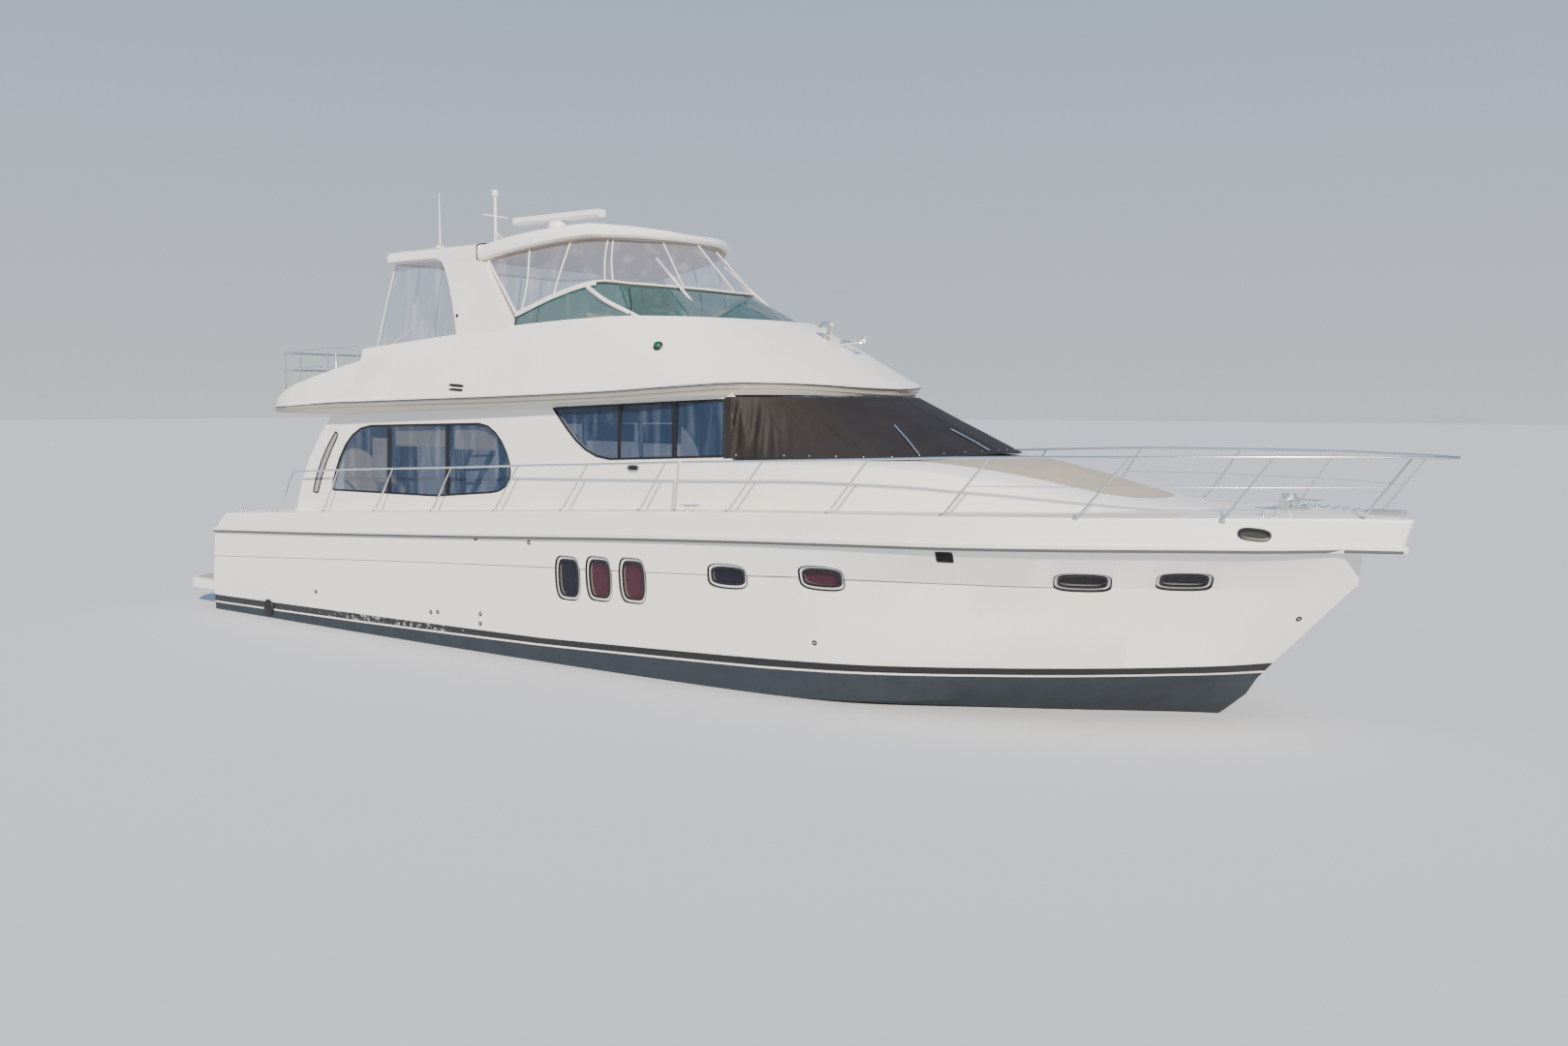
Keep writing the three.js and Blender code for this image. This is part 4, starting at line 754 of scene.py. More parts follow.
# %% [markdown]
# ## Deck, foredeck trunk and swim platform
# These are gelcoat mouldings, so their solids are kept in shape and only merged and shaded
# smooth, and so are the sides of the deck house. Where people walk, a panel of non-skid lies
# in the gelcoat with a smooth margin round it. A panel is a grid laid out in plan and dropped
# onto the deck by rays, 1.5 mm proud.

# %% Smooth gelcoat mouldings
for node, crease in (("deck_starboard", 24), ("deck_port", 24), ("foredeck", 24), ("trunk", 38),
                     ("swim_platform", 30), ("house_side_starboard", 30), ("house_side_port", 30),
                     ("aft_bulkhead", 30)):
    smooth_copy(node, WHITE_GELCOAT, crease=crease)
print("deck and house mouldings finished")

# %% Non-skid panels
deck_skin = skin_of("deck_starboard", "deck_port", "foredeck")
trunk_skin = skin_of("trunk")
platform_skin = skin_of("swim_platform")


def dropped_panel(name, skin, along, across, plan, material):
    """A grid of (share along, share across) laid out by plan() and dropped onto a skin"""
    shape = bmesh.new()
    bmesh.ops.create_grid(shape, x_segments=along, y_segments=across, size=0.5)
    lost = []
    for vert in shape.verts:
        x, y = plan(vert.co.x + 0.5, vert.co.y + 0.5)
        hit = skin.ray_cast(Vector((x, y, 6)), Vector((0, 0, -1)))[0]
        if hit is None:
            lost.append(vert)
        else:
            vert.co = hit + Vector((0, 0, 0.0015))
    bmesh.ops.delete(shape, geom=lost, context="VERTS")
    bmesh.ops.recalc_face_normals(shape, faces=shape.faces)
    if sum(face.normal.z for face in shape.faces) < 0:
        bmesh.ops.reverse_faces(shape, faces=shape.faces)
    return finish_piece(name, shape, [material], crease=60)


DECK_EDGE = [(-7.75, 2.105), (-5.0, 2.190), (-2.0, 2.250), (1.0, 2.305), (2.7, 2.322),
             (3.85, 2.312), (5.05, 2.200), (6.12, 1.890), (7.05, 1.440), (7.8, 0.960),
             (8.4, 0.470)]
TRUNK_FOOT = [(1.9, 1.95), (2.06, 1.90), (3.2, 1.88), (4.25, 1.77), (4.66, 1.69), (5.27, 1.56),
              (5.84, 1.40), (6.49, 1.13), (7.0, 0.82), (7.25, 0.60), (7.45, 0.0)]
CROWN = [(3.9, 1.30), (4.4, 1.20), (4.8, 1.07), (5.44, 0.86), (6.03, 0.69), (6.30, 0.50),
         (6.42, 0.30), (6.46, 0.12)]
SILL_LINE = [(0.0, 4.48), (0.78, 4.33), (1.40, 3.90), (1.72, 3.10), (1.85, 2.08)]


def side_deck(side, x0, x1, inner):
    """A plan of the deck from a line on its inner side out to its edge, with smooth margins"""
    def plan(s, t):
        x = x0 + (x1 - x0) * s
        low, high = inner(x) + 0.045, value_on(DECK_EDGE, x) - 0.10
        return x, side * (low + (high - low) * t)
    return plan


def crown_plan(s, t):
    """The crown of the trunk, from just ahead of the windshield to its pointed end"""
    x = CROWN[0][0] + (CROWN[-1][0] - CROWN[0][0]) * s
    y = (2 * t - 1) * value_on(CROWN, x)
    return max(x, value_on(SILL_LINE, abs(y)) + 0.10), y


def platform_plan(s, t):
    """The platform from its aft edge, narrower where its corners are rounded"""
    x = -9.10 + 1.02 * s
    corner = max(0, -8.79 - x) / 0.33
    return x, (2 * t - 1) * (1.93 - 0.38 * corner ** 2)


for side, word in SIDES:
    dropped_panel("nonskid_side_deck_" + word, deck_skin, 60, 3,
                  side_deck(side, -5.6, 1.9, lambda x: 1.96), PALE_NONSKID)
    dropped_panel("nonskid_foredeck_" + word, deck_skin, 60, 5,
                  side_deck(side, 2.0, 7.0, lambda x: value_on(TRUNK_FOOT, x)), PALE_NONSKID)
dropped_panel("nonskid_crown", trunk_skin, 50, 30, crown_plan, NONSKID)
dropped_panel("nonskid_platform", platform_skin, 20, 24, platform_plan, NONSKID)
print("non-skid panels laid")

# %% Cockpit and cabin floors
smooth_copy("cockpit_sole", NONSKID)
smooth_copy("cabin_sole", CARPET)
print("floors laid")

# %% [markdown]
# ## Deck house
# The house sides are gelcoat with large windows of tinted glass. Each pane is bedded in black
# rubber, so its rim is traced from the pane itself and a bead is run along it. A slim slot
# window follows the raked aft edge.

# %% Trace the rim of a pane
def rim_of(node, outward):
    shape = merged_copy(node)
    front = {face for face in shape.faces if face.normal.dot(Vector(outward)) > 0.7}
    edges = [edge for edge in shape.edges if len([f for f in edge.link_faces if f in front]) == 1]
    chain = [edges[0].verts[0], edges[0].verts[1]]
    waiting = set(edges[1:])
    while waiting:
        step = next(edge for edge in waiting if chain[-1] in edge.verts)
        waiting.discard(step)
        chain.append(step.other_vert(chain[-1]))
    points = [vert.co.copy() for vert in chain[:-1]]
    shape.free()
    return points


def resampled(points, spacing):
    """Points at an even spacing along a closed line"""
    loop = points + [points[0]]
    total = sum((b - a).length for a, b in zip(loop, loop[1:]))
    count = max(8, round(total / spacing))
    found, walked, k = [], 0.0, 0
    for i in range(count):
        goal = total * i / count
        while walked + (loop[k + 1] - loop[k]).length < goal:
            walked += (loop[k + 1] - loop[k]).length
            k += 1
        found.append(loop[k].lerp(loop[k + 1], (goal - walked) / (loop[k + 1] - loop[k]).length))
    return found


for side, word in SIDES:
    for pane in ("salon_glass_", "pilothouse_glass_"):
        rim = resampled(rim_of(pane + word, (0, side, 0)), 0.04)
        tube("gasket_" + pane + word, [p + Vector((0, side * 0.005, 0)) for p in rim], 0.014,
             GASKET, closed=True)
for pane, body in (("bulkhead_glass", "boat"), ("salon_door_glass", "salon_door")):
    rim = resampled(rim_of(pane, (-1, 0, 0)), 0.04)
    tube("gasket_" + pane, [p - Vector((0.002, 0, 0)) for p in rim], 0.010, GASKET, body,
         closed=True)
print("gaskets run round the panes")

# %% Tint the panes
PANES = [name for name in nodes if "glass" in name]
for name in PANES:
    nodes[name].data.materials.clear()
    nodes[name].data.materials.append(TINTED_GLASS)
nodes["salon_door"].data.materials[0] = STAINLESS
print("tinted:", PANES)

# %% [markdown]
# The windows are divided by flat black mullions. In the saloon there are pale blinds, pleated
# across. The slot window is drawn as a slim piece on the wall, whose slope is known from the
# house: it leans in by 3 cm for every metre of height.

# %% Mullions and blinds
# Half the breadth at the foot of the wall, the height of its foot, and the lean per metre
HALF_BREADTH, WALL_FOOT, LEAN = 1.95, 1.7, 0.03


def wall_y(x, z):
    """Half the breadth between the walls; forward of amidships they curve in a little"""
    taper = 0.04 * (x / 2.06) ** 2 if x > 0 else 0
    return HALF_BREADTH - LEAN * (z - WALL_FOOT) - taper


def wall_point(x, z, side, out):
    return Vector((x, side * (wall_y(x, z) + out), z))


def wall_panel(name, outline, side, out, thickness, material):
    """A thin plate on the wall, its outline given as (x, z)"""
    shape = bmesh.new()
    corners = [shape.verts.new(wall_point(x, z, side, out)) for x, z in outline]
    plate = shape.faces.new(corners)
    moved = bmesh.ops.extrude_face_region(shape, geom=[plate])["geom"]
    for item in moved:
        if isinstance(item, bmesh.types.BMVert):
            item.co.y -= side * thickness
    bmesh.ops.recalc_face_normals(shape, faces=shape.faces)
    return finish_piece(name, shape, [material])


def upright_box(x0, x1, low, high):
    return [(x0, low), (x1, low), (x1, high), (x0, high)]


MULLIONS = [(-3.961, 1.98, 2.87, 0.08), (-2.744, 2.0, 2.93, 0.08), (0.368, 2.55, 3.19, 0.05),
            (1.228, 2.59, 3.22, 0.07)]
BLINDS = [(-4.42, -4.02, 2.10, 2.72), (-3.90, -2.80, 2.62, 2.90), (-2.69, -1.86, 2.60, 2.90)]
for side, word in SIDES:
    for number, (x, low, high, width) in enumerate(MULLIONS):
        wall_panel("mullion_%d_%s" % (number, word),
                   upright_box(x - width / 2, x + width / 2, low, high), side, -0.002, 0.008,
                   GASKET)
    for number, (x0, x1, low, high) in enumerate(BLINDS):
        wall_panel("blind_%d_%s" % (number, word), upright_box(x0, x1, low, high), side,
                   -0.075, 0.006, BLIND)
print("mullions and blinds placed")

# %% Slot window in the aft edge
SLOT = [(-5.155, 2.80), (-5.24, 2.71), (-5.36, 2.57), (-5.50, 2.36), (-5.62, 2.12), (-5.69, 1.92),
        (-5.58, 1.90), (-5.49, 2.13), (-5.375, 2.35), (-5.25, 2.55), (-5.145, 2.69),
        (-5.105, 2.765)]
for side, word in SIDES:
    wall_panel("slot_window_" + word, SLOT, side, 0.002, 0.006, TINTED_GLASS)
    rim = resampled([wall_point(x, z, side, 0.003) for x, z in SLOT], 0.04)
    tube("gasket_slot_" + word, rim, 0.011, GASKET, closed=True)
print("slot windows added")

# %% [markdown]
# ## Flybridge and brow
# The flybridge is a large moulding whose lower edge stands out as a brow over the side decks.
# Under the brow runs a band that slopes in, painted grey-beige as shade, and a black line along
# the edge above it is a painted shadow line.
# The floor inside is non-skid, the rest is white.

# %% Flybridge moulding with its band
BROW_TOP = [(-6.2, 3.165), (-4.95, 3.23), (-4.4, 3.243), (-2.5, 3.287), (-1.4, 3.313),
            (0.24, 3.365), (1.4, 3.425), (2.13, 3.462), (2.67, 3.45), (3.0, 3.415), (3.14, 3.40)]
BROW_LOW = [(-6.2, 3.075), (-4.95, 3.05), (-4.4, 3.07), (-2.5, 3.14), (-1.4, 3.18), (0.24, 3.24),
            (1.4, 3.285), (2.1, 3.31), (2.62, 3.312), (2.94, 3.30), (3.08, 3.295)]
bridge = merged_copy("flybridge")
split_along(bridge, lowered(BROW_TOP, 0.022))
for face in bridge.faces:
    face.normal_update()
    x, y, z = face.calc_center_median()
    in_band = value_on(BROW_LOW, x) - 0.005 < z < value_on(BROW_TOP, x) - 0.02
    outer = abs(y) > 1.9 or abs(face.normal.x) > 0.4 or x > 1.4
    floor = face.normal.z > 0.9 and 3.15 < z < 3.45 and abs(y) < 1.9
    # Band faces that slope in under the brow are painted grey as shade
    if in_band and face.normal.z < 0.6 and outer:
        face.material_index = 1
    else:
        face.material_index = 2 if floor else 0
finish_piece("flybridge_finished", bridge, [WHITE_GELCOAT, SHADE_GREY_GELCOAT, NONSKID], crease=25,
             replaces=["flybridge"])
print("flybridge finished")

# %% [markdown]
# ## Windscreen of the flybridge
# A low screen of teal acrylic runs round the front of the flybridge, held in a white frame
# along its sides and a black gasket along its front. The solid is already the bent sheet, so
# it is only merged and shaded. The trims follow the same named points as the CAD.

# %% Screen and its trims
SCREEN_FOOT = [(1.555, 0, 4.15), (1.425, 0.59, 4.15), (1.15, 1.075, 4.15), (0.77, 1.46, 4.15),
               (0.15, 1.715, 4.15), (-0.7, 1.79, 4.15), (-1.52, 1.82, 4.12)]
SCREEN_TOP = [(0.62, 0, 4.612), (0.53, 0.43, 4.625), (0.27, 0.85, 4.65), (-0.04, 1.23, 4.675),
              (-0.36, 1.52, 4.697), (-0.85, 1.71, 4.56), (-1.51, 1.80, 4.33)]
CURTAIN_TOP = [(-0.01, 0, 5.34), (-0.12, 0.43, 5.34), (-0.37, 0.87, 5.345), (-0.68, 1.28, 5.345),
               (-1.1, 1.51, 5.31), (-1.65, 1.65, 5.22), (-2.12, 1.715, 5.12)]
smooth_copy("bridge_windscreen", TEAL_ACRYLIC, crease=40)


def port_and_starboard(half, count):
    """A fair line from starboard aft round the front to port aft"""
    line = fair_line(half, count)
    return mirrored(line)[::-1] + line[1:]


def seated(tree, foot, head, out):
    """Where the line from head to foot meets the moulding, a little outside the sheet"""
    away = Vector((foot.x + 2.5, foot.y, 0)).normalized() * out
    direction = foot - head
    hit = tree.ray_cast(head + away, direction.normalized(), direction.length * 1.5)[0]
    return hit if hit is not None else foot + away


# The screen has 36 steps a side; its white frame runs over the first 12, to the corner post.
# Every line round the front starts to starboard and ends to port.
STEPS, FRAMED = 36, 12
END_OF = {"starboard": 0, "port": -1}
screen_top = port_and_starboard(SCREEN_TOP, STEPS)
screen_foot = port_and_starboard(SCREEN_FOOT, STEPS)
tube("screen_gasket_front", screen_top[FRAMED:-FRAMED], 0.014, GASKET)
bridge_skin = skin_of("flybridge")
bead = [seated(bridge_skin, low, high, 0.012) for low, high in zip(screen_foot, screen_top)]
tube("screen_gasket_foot", bead, 0.011, GASKET)
POST = [(-0.467, 1.575, 4.655), (-0.10, 1.64, 4.47), (0.262, 1.565, 4.299), (0.50, 1.50, 4.18)]
BRACE = [(-0.10, 0.69, 5.06), (0.80, 0.86, 4.31)]
for side, word in SIDES:
    part = screen_top[:FRAMED + 1] if side < 0 else screen_top[-FRAMED - 1:]
    tube("screen_frame_" + word, part, 0.022, WHITE_PLASTIC)
    tube("screen_gasket_" + word, [p - Vector((0, 0, 0.030)) for p in part], 0.011, GASKET)
    tube("screen_gasket_end_" + word, [screen_top[END_OF[word]], bead[END_OF[word]]], 0.012,
         GASKET)
    post, brace = ([Vector((x, side * y, z)) for x, y, z in line] for line in (POST, BRACE))
    tube("screen_post_" + word, fair_line(post, 12), 0.028, WHITE_PLASTIC)
    tube("screen_brace_" + word, brace, 0.019, WHITE_PLASTIC)
print("screen trims run")

# %% [markdown]
# ## Clear curtains
# Clear vinyl is zipped between the screen, the hardtop and the arch, so that the helm can be
# closed in. It is cut flat and stretched, so it bows a little between its zips. Each curtain
# is a grid laid between its foot line and its head line, given a soft bow and a few creases
# from a noise, and the size that it was cut to is worked out and printed.

# %% Sheets between two lines
def sheet_between(foot, head, rows, bow, crease_size, seed):
    """A cloth grid from a foot line to a head line, bowed outwards and creased"""
    shape = bmesh.new()
    columns = len(foot) - 1
    bmesh.ops.create_grid(shape, x_segments=columns, y_segments=rows, size=0.5)
    centre = sum(foot + head, Vector()) / (2 * len(foot))
    for vert in shape.verts:
        k = round((vert.co.x + 0.5) * columns)
        t = vert.co.y + 0.5
        point = foot[k].lerp(head[k], t)
        away = Vector((point.x - centre.x, point.y, 0)).normalized()
        ripple = noise.noise(Vector((point.x * 3 + seed, point.y * 3, point.z * 2.2)))
        hold = math.sin(math.pi * min(max(t, 0.02), 0.98))
        vert.co = point + away * (bow + crease_size * ripple) * hold
    bmesh.ops.recalc_face_normals(shape, faces=shape.faces)
    return shape


SLACK = 1.01


def line_length(points):
    return sum((b - a).length for a, b in zip(points, points[1:]))


def flat_size(shape, foot, head):
    """Width and length that the sheet was cut to, and its flat area"""
    width = max(line_length(foot), line_length(head))
    length = max((b - a).length for a, b in zip(foot, head)) * SLACK
    area = sum(face.calc_area() for face in shape.faces)
    return (width, length), min(area, width * length)


curtain_foot = [p + Vector((0, 0, 0.030)) for p in screen_top]
curtain_head = port_and_starboard([(x, y * 0.997, z - 0.045) for x, y, z in CURTAIN_TOP],
                                  STEPS)
shape = sheet_between(curtain_foot, curtain_head, 14, 0.012, 0.014, 1.0)
flat, area = flat_size(shape, curtain_foot, curtain_head)
front_curtain = finish_piece("curtain_front_vinyl", shape, [CLEAR_VINYL], crease=80,
                             replaces=["curtain_front"])
print("front curtain cut", [round(value, 2) for value in flat], round(area, 2), "m2")

# %% Aft curtain
AFT_FOOT = [(-4.408, 0, 3.9), (-4.406, 0.9, 3.9), (-4.398, 1.64, 3.9), (-4.35, 1.775, 3.9),
            (-4.24, 1.822, 3.9), (-3.4, 1.838, 3.98), (-2.6, 1.805, 4.1)]
AFT_HEAD = [(-4.128, 0, 5.148), (-4.126, 0.9, 5.148), (-4.118, 1.5, 5.148), (-4.085, 1.62, 5.148),
            (-3.99, 1.652, 5.148), (-3.4, 1.668, 5.148), (-2.98, 1.67, 5.13)]
AFT_STEPS = 48
aft_foot = port_and_starboard(AFT_FOOT, AFT_STEPS)
aft_head = port_and_starboard(AFT_HEAD, AFT_STEPS)
shape = sheet_between(aft_foot, aft_head, 16, 0.006, 0.012, 7.0)
flat, area = flat_size(shape, aft_foot, aft_head)
aft_curtain = finish_piece("curtain_aft_vinyl", shape, [CLEAR_VINYL], crease=80,
                           replaces=["curtain_aft"])
print("aft curtain cut", [round(value, 2) for value in flat], round(area, 2), "m2")

# %% [markdown]
# The zips and hems are sewn strips of white tape. They are drawn as cords along lines on the
# curtain: hems round the edges, slanting zips on the front curtain and a rounded
# door zip on the aft one.

# %% Zips and hems
def on_curtain(foot, head, share, height, out=0.016):
    """A point on a curtain, by its share from starboard to port and its height from 0 to 1"""
    at = share * (len(foot) - 1)
    k = min(int(at), len(foot) - 2)
    low = foot[k].lerp(foot[k + 1], at - k)
    high = head[k].lerp(head[k + 1], at - k)
    point = low.lerp(high, height)
    return point + Vector((point.x + 2.5, point.y, 0)).normalized() * out


FRONT_ZIPS = [((0.012, 0.0), (0.115, 1.0)), ((0.075, 0.0), (0.205, 1.0)),
              ((0.185, 0.0), (0.285, 1.0)), ((0.205, 0.0), (0.295, 1.0)),
              ((0.36, 0.0), (0.40, 1.0)), ((0.50, 0.0), (0.50, 1.0))]
for number, ((s0, t0), (s1, t1)) in enumerate(FRONT_ZIPS):
    for flip in ((False, True) if s0 < 0.5 else (False,)):
        line = []
        for i in range(13):
            share, height = s0 + (s1 - s0) * i / 12, t0 + (t1 - t0) * i / 12
            line.append(on_curtain(curtain_foot, curtain_head, 1 - share if flip else share,
                                   height))
        tube("zip_front_%d_%s" % (number, "port" if flip else "starboard"), line, 0.011, ZIP_TAPE,
             sides=1)
for name, foot, head, radius in (("hem_front_", curtain_foot, curtain_head, 0.020),
                                 ("hem_aft_", aft_foot, aft_head, 0.024)):
    for word, end in END_OF.items():
        side_hem = [foot[end].lerp(head[end], i / 6) for i in range(7)]
        tube(name + word, side_hem, radius, ZIP_TAPE, sides=1)
for name, line, radius in (("hem_front_top", curtain_head, 0.014),
                           ("hem_front_foot", curtain_foot, 0.014),
                           ("hem_aft_top", aft_head, 0.022), ("hem_aft_foot", aft_foot, 0.022)):
    tube(name, line, radius, ZIP_TAPE, sides=1)
for word, first, second, third in (("starboard", 0.20, 0.27, 0.385), ("port", 0.80, 0.73, 0.615),
                                   ("centre", 0.43, 0.48, 0.57)):
    door = [(first, 0.97), (first, 0.6), (first, 0.3), ((first * 2 + second) / 3, 0.1),
            (second, 0.06), ((third * 2 + second) / 3, 0.1), (third, 0.3), (third, 0.6),
            (third, 0.97)]
    line = fair_line([on_curtain(aft_foot, aft_head, s, t, 0.0) for s, t in door], 40)
    out = (-0.008, 0, 0) if word == "centre" else (0, math.copysign(0.010, line[0].y), 0)
    tube("zip_aft_" + word, [p + Vector(out) for p in line], 0.010, ZIP_TAPE, sides=1)
print("zips and hems sewn")

# %% [markdown]
# ## Arch and hardtop
# The arch carries the radar and the aerials, and the hardtop runs forward from it. Both are
# gelcoat. Where they meet there is a dark sealed joint, and under the roof is a beige lining.

# %% Arch, hardtop, radar and mast
TOP_PARTS = (("radar_arch", WHITE_GELCOAT, None, "boat", 32),
             ("hardtop", WHITE_GELCOAT, None, "boat", 35),
             ("radar_scanner", WHITE_PLASTIC, None, "radar_scanner", 30),
             ("aerial", WHITE_PLASTIC, None, "aerial", 40),
             ("light_mast", WHITE_PLASTIC, "stainless", "boat", 40))
for node, material, slot, body, crease in TOP_PARTS:
    smooth_copy(node, material, body, crease)
JOINT = [(-2.235, 1.705, 5.06), (-2.235, 1.79, 5.09), (-2.235, 1.802, 5.16), (-2.235, 1.795, 5.22),
         (-2.235, 1.74, 5.285), (-2.235, 1.2, 5.325), (-2.235, 0, 5.332)]
seam = fair_line(JOINT, 24)
tube("roof_joint", mirrored(seam) + seam[::-1][1:], 0.009, GASKET)
print("arch and hardtop finished")

# %% Lining under the hardtop and painted shade lines on the brow
lining = merged_copy("hardtop")
for face in lining.faces:
    face.normal_update()
bmesh.ops.delete(lining, geom=[face for face in lining.faces if face.normal.z > -0.8],
                 context="FACES")
bmesh.ops.translate(lining, verts=lining.verts, vec=(0, 0, -0.006))
finish_piece("hardtop_lining", lining, [LINING])
BROW_EDGE = [(-6.505, 1.98, 3.155), (-6.2, 2.12, 3.17), (-4.95, 2.14, 3.23), (-4.4, 2.14, 3.243),
             (-2.5, 2.14, 3.287), (-1.4, 2.135, 3.313), (0.24, 2.11, 3.365), (1.4, 2.065, 3.425),
             (2.13, 1.885, 3.462), (2.67, 1.25, 3.45), (3.0, 0.64, 3.415), (3.14, 0, 3.40)]
edge_line = fair_line(BROW_EDGE, 60)
# The black upper line is a painted shadow line under the brow's edge; the lower one, in the band's
# grey, is painted shade at the band's foot
BROW_SHADE_LINES = (("brow_painted_shadow_line", 0.020, 0.0, 0.006, GASKET),
              ("brow_shade_band_foot", 0.075, 0.022, 0.005, SHADE_GREY_GELCOAT))
for name, drop, inward, radius, material in BROW_SHADE_LINES:
    line = [p - Vector((inward * (p.x > 1.4), inward * (p.y > 0.3), drop)) for p in edge_line]
    tube(name, mirrored(line) + line[::-1][1:], radius, material, sides=1)
print("lining and drip lines added")

# %% [markdown]
# ## Windshield cover
# A black cloth is snapped over the windshield, hung from the brow and drawn down to the trunk.
# Real cloth like this hangs from its top edge, is taut where it bends round the front, and
# falls in soft upright folds at its aft ends, where it is slack. The sheet is a grid laid
# between the sill and the head. Its folds are the crests of a noise that fades away from the
# aft edge, and a second noise adds the slack between snaps. Rays to the glass and to the walls
# of the house keep every point of the cloth 12 mm clear of them.

# %% Cover sheet
SILL = [(4.48, 0, 2.650), (4.33, 0.78, 2.640), (3.90, 1.40, 2.600), (3.10, 1.72, 2.600),
        (2.10, 1.85, 2.592), (1.965, 1.882, 2.592)]
HEAD = [(3.05, 0, 3.335), (2.90, 0.62, 3.335), (2.57, 1.21, 3.335), (2.27, 1.56, 3.335),
        (2.10, 1.78, 3.335), (1.965, 1.862, 3.335)]


def away_from_cabin(point, up):
    """Outwards from the middle of the cabin, tilted up by a given share"""
    return Vector((point.x - 1.4, point.y, up)).normalized()


def off_glass(points, out):
    return [p + away_from_cabin(p, 0) * out for p in points]


def evenly(points, count):
    """The same line with its points evenly spaced"""
    walked = [0.0]
    for a, b in zip(points, points[1:]):
        walked.append(walked[-1] + (b - a).length)
    found, k = [], 0
    for i in range(count + 1):
        goal = walked[-1] * i / count
        while k < len(points) - 2 and walked[k + 1] < goal:
            k += 1
        found.append(points[k].lerp(points[k + 1],
                                    (goal - walked[k]) / (walked[k + 1] - walked[k])))
    return found


# Depth and reach of the slack folds, reach of the snapped aft edge, gap to what lies under
FOLD, SLACK_REACH, EDGE_REACH, CLEAR = 0.15, 0.8, 0.07, 0.012
COLUMNS = 320


def hang_cover(foot, head, rows):
    """The cover as a grid with its folds, kept clear of what lies under it"""
    shape = bmesh.new()
    columns, reach = len(foot) - 1, line_length(foot)
    bmesh.ops.create_grid(shape, x_segments=columns, y_segments=rows, size=0.5)
    for vert in shape.verts:
        s, t = vert.co.x + 0.5, vert.co.y + 0.5
        point = foot[round(s * columns)].lerp(head[round(s * columns)], t)
        away = away_from_cabin(point, 0.25)
        end = min(s, 1 - s) * reach
        slack = math.exp(-(end / SLACK_REACH) ** 2) - math.exp(-(end / EDGE_REACH) ** 2)
        crest = abs(noise.noise(Vector((end * 8 - t * 1.3, t * 0.7, 3.3))))
        fold = FOLD * slack * (0.30 - crest) * math.sin(math.pi * min(1, 0.10 + t * 0.90))
        drag = (0.012 * noise.noise(Vector((s * 17 + t * 3, t * 1.6, 4.0)))
                + 0.0025 * math.sin(s * 120 + 5 * t))
        out = fold + drag * math.sin(math.pi * min(max(t, 0.04), 0.96)) + 0.004
        for skin in under_skins:
            hit = skin.ray_cast(point + away, -away, 1.5)[0]
            if hit is not None:
                out = max(out, (hit - point).dot(away) + CLEAR)
        vert.co = point + away * out
    bmesh.ops.recalc_face_normals(shape, faces=shape.faces)
    return shape


under_skins = [skin_of(node) for node in ("windshield", "house_side_starboard", "house_side_port")]
sill, head = (off_glass(evenly(port_and_starboard(line, COLUMNS // 2), COLUMNS), 0.018)
              for line in (SILL, HEAD))
head = [low.lerp(high, 0.935) for low, high in zip(sill, head)]
sill = [low + Vector((0, 0, 0.006)) for low in sill]
shape = hang_cover(sill, head, 26)
flat, area = flat_size(shape, sill, head)
cover = finish_piece("windshield_cover_cloth", shape, [CANVAS], crease=80,
                     replaces=["windshield_cover"])
thickness = cover.modifiers.new("thickness", "SOLIDIFY")
thickness.thickness = 0.003
print("cover cut", [round(value, 2) for value in flat], round(area, 2), "m2")

# %% Hem, seams and snaps of the cover
tube("cover_hem_foot", off_glass(sill, 0.004), 0.007, CANVAS, sides=1)
for word, k in END_OF.items():
    tube("cover_hem_" + word, [sill[k] + (head[k] - sill[k]) * i / 8 for i in range(9)], 0.007,
         CANVAS)
for number, k in enumerate((78, 160, 242)):
    line = [sill[k].lerp(head[k], i / 10) for i in range(11)]
    tube("cover_seam_%d" % number, off_glass(line, 0.005), 0.004, CANVAS)


def dome(shape, place, radius, height):
    """A small domed stud"""
    stud = bmesh.new()
    bmesh.ops.create_uvsphere(stud, u_segments=8, v_segments=5, radius=1)
    bmesh.ops.scale(stud, vec=(radius, radius, height), verts=stud.verts)
    absorb(shape, stud, place)


snaps = bmesh.new()
for k in range(7, COLUMNS, 14):
    away = away_from_cabin(sill[k], 0.2)
    at = sill[k].lerp(head[k], 0.05) + away * 0.008
    dome(snaps, Matrix.Translation(at) @ away.to_track_quat("Z", "Y").to_matrix().to_4x4(), 0.009,
         0.005)
cover_snaps = finish_piece("cover_snaps", snaps, [STAINLESS], crease=60)
nodes["windshield"].data.materials.clear()
nodes["windshield"].data.materials.append(TINTED_GLASS)
print("cover sewn and snapped")

# %% [markdown]
# ## Wipers
# Two wipers lie over the cloth cover and one on the flybridge screen. From the quay each shows
# as one bent rod, so a round bevelled curve is enough.

# %% Wipers
WIPERS = [
    ("cover_a", [(3.600, -0.872, 2.972), (3.85, -1.02, 2.825), (4.085, -1.160, 2.672)], 0.010),
    ("cover_b", [(3.947, -0.204, 2.925), (4.20, -0.20, 2.812), (4.440, -0.190, 2.690)], 0.010),
    ("screen", [(0.010, -1.322, 4.635), (0.253, -1.571, 4.325), (0.262, -1.745, 4.175)], 0.008),
]
for name, line, radius in WIPERS:
    tube("wiper_" + name, fair_line(line, 12), radius,
         BLACK_PLASTIC if name == "screen" else STAINLESS)
print(len(WIPERS), "wipers")

# %% [markdown]
# ## Rails
# Rails are bent stainless tube with welded stanchions. The solids have six-sided tubes, which
# smooth shading makes round. Each stanchion stands on a small round flange, and forward of the
# third one a wire lifeline runs at half height.

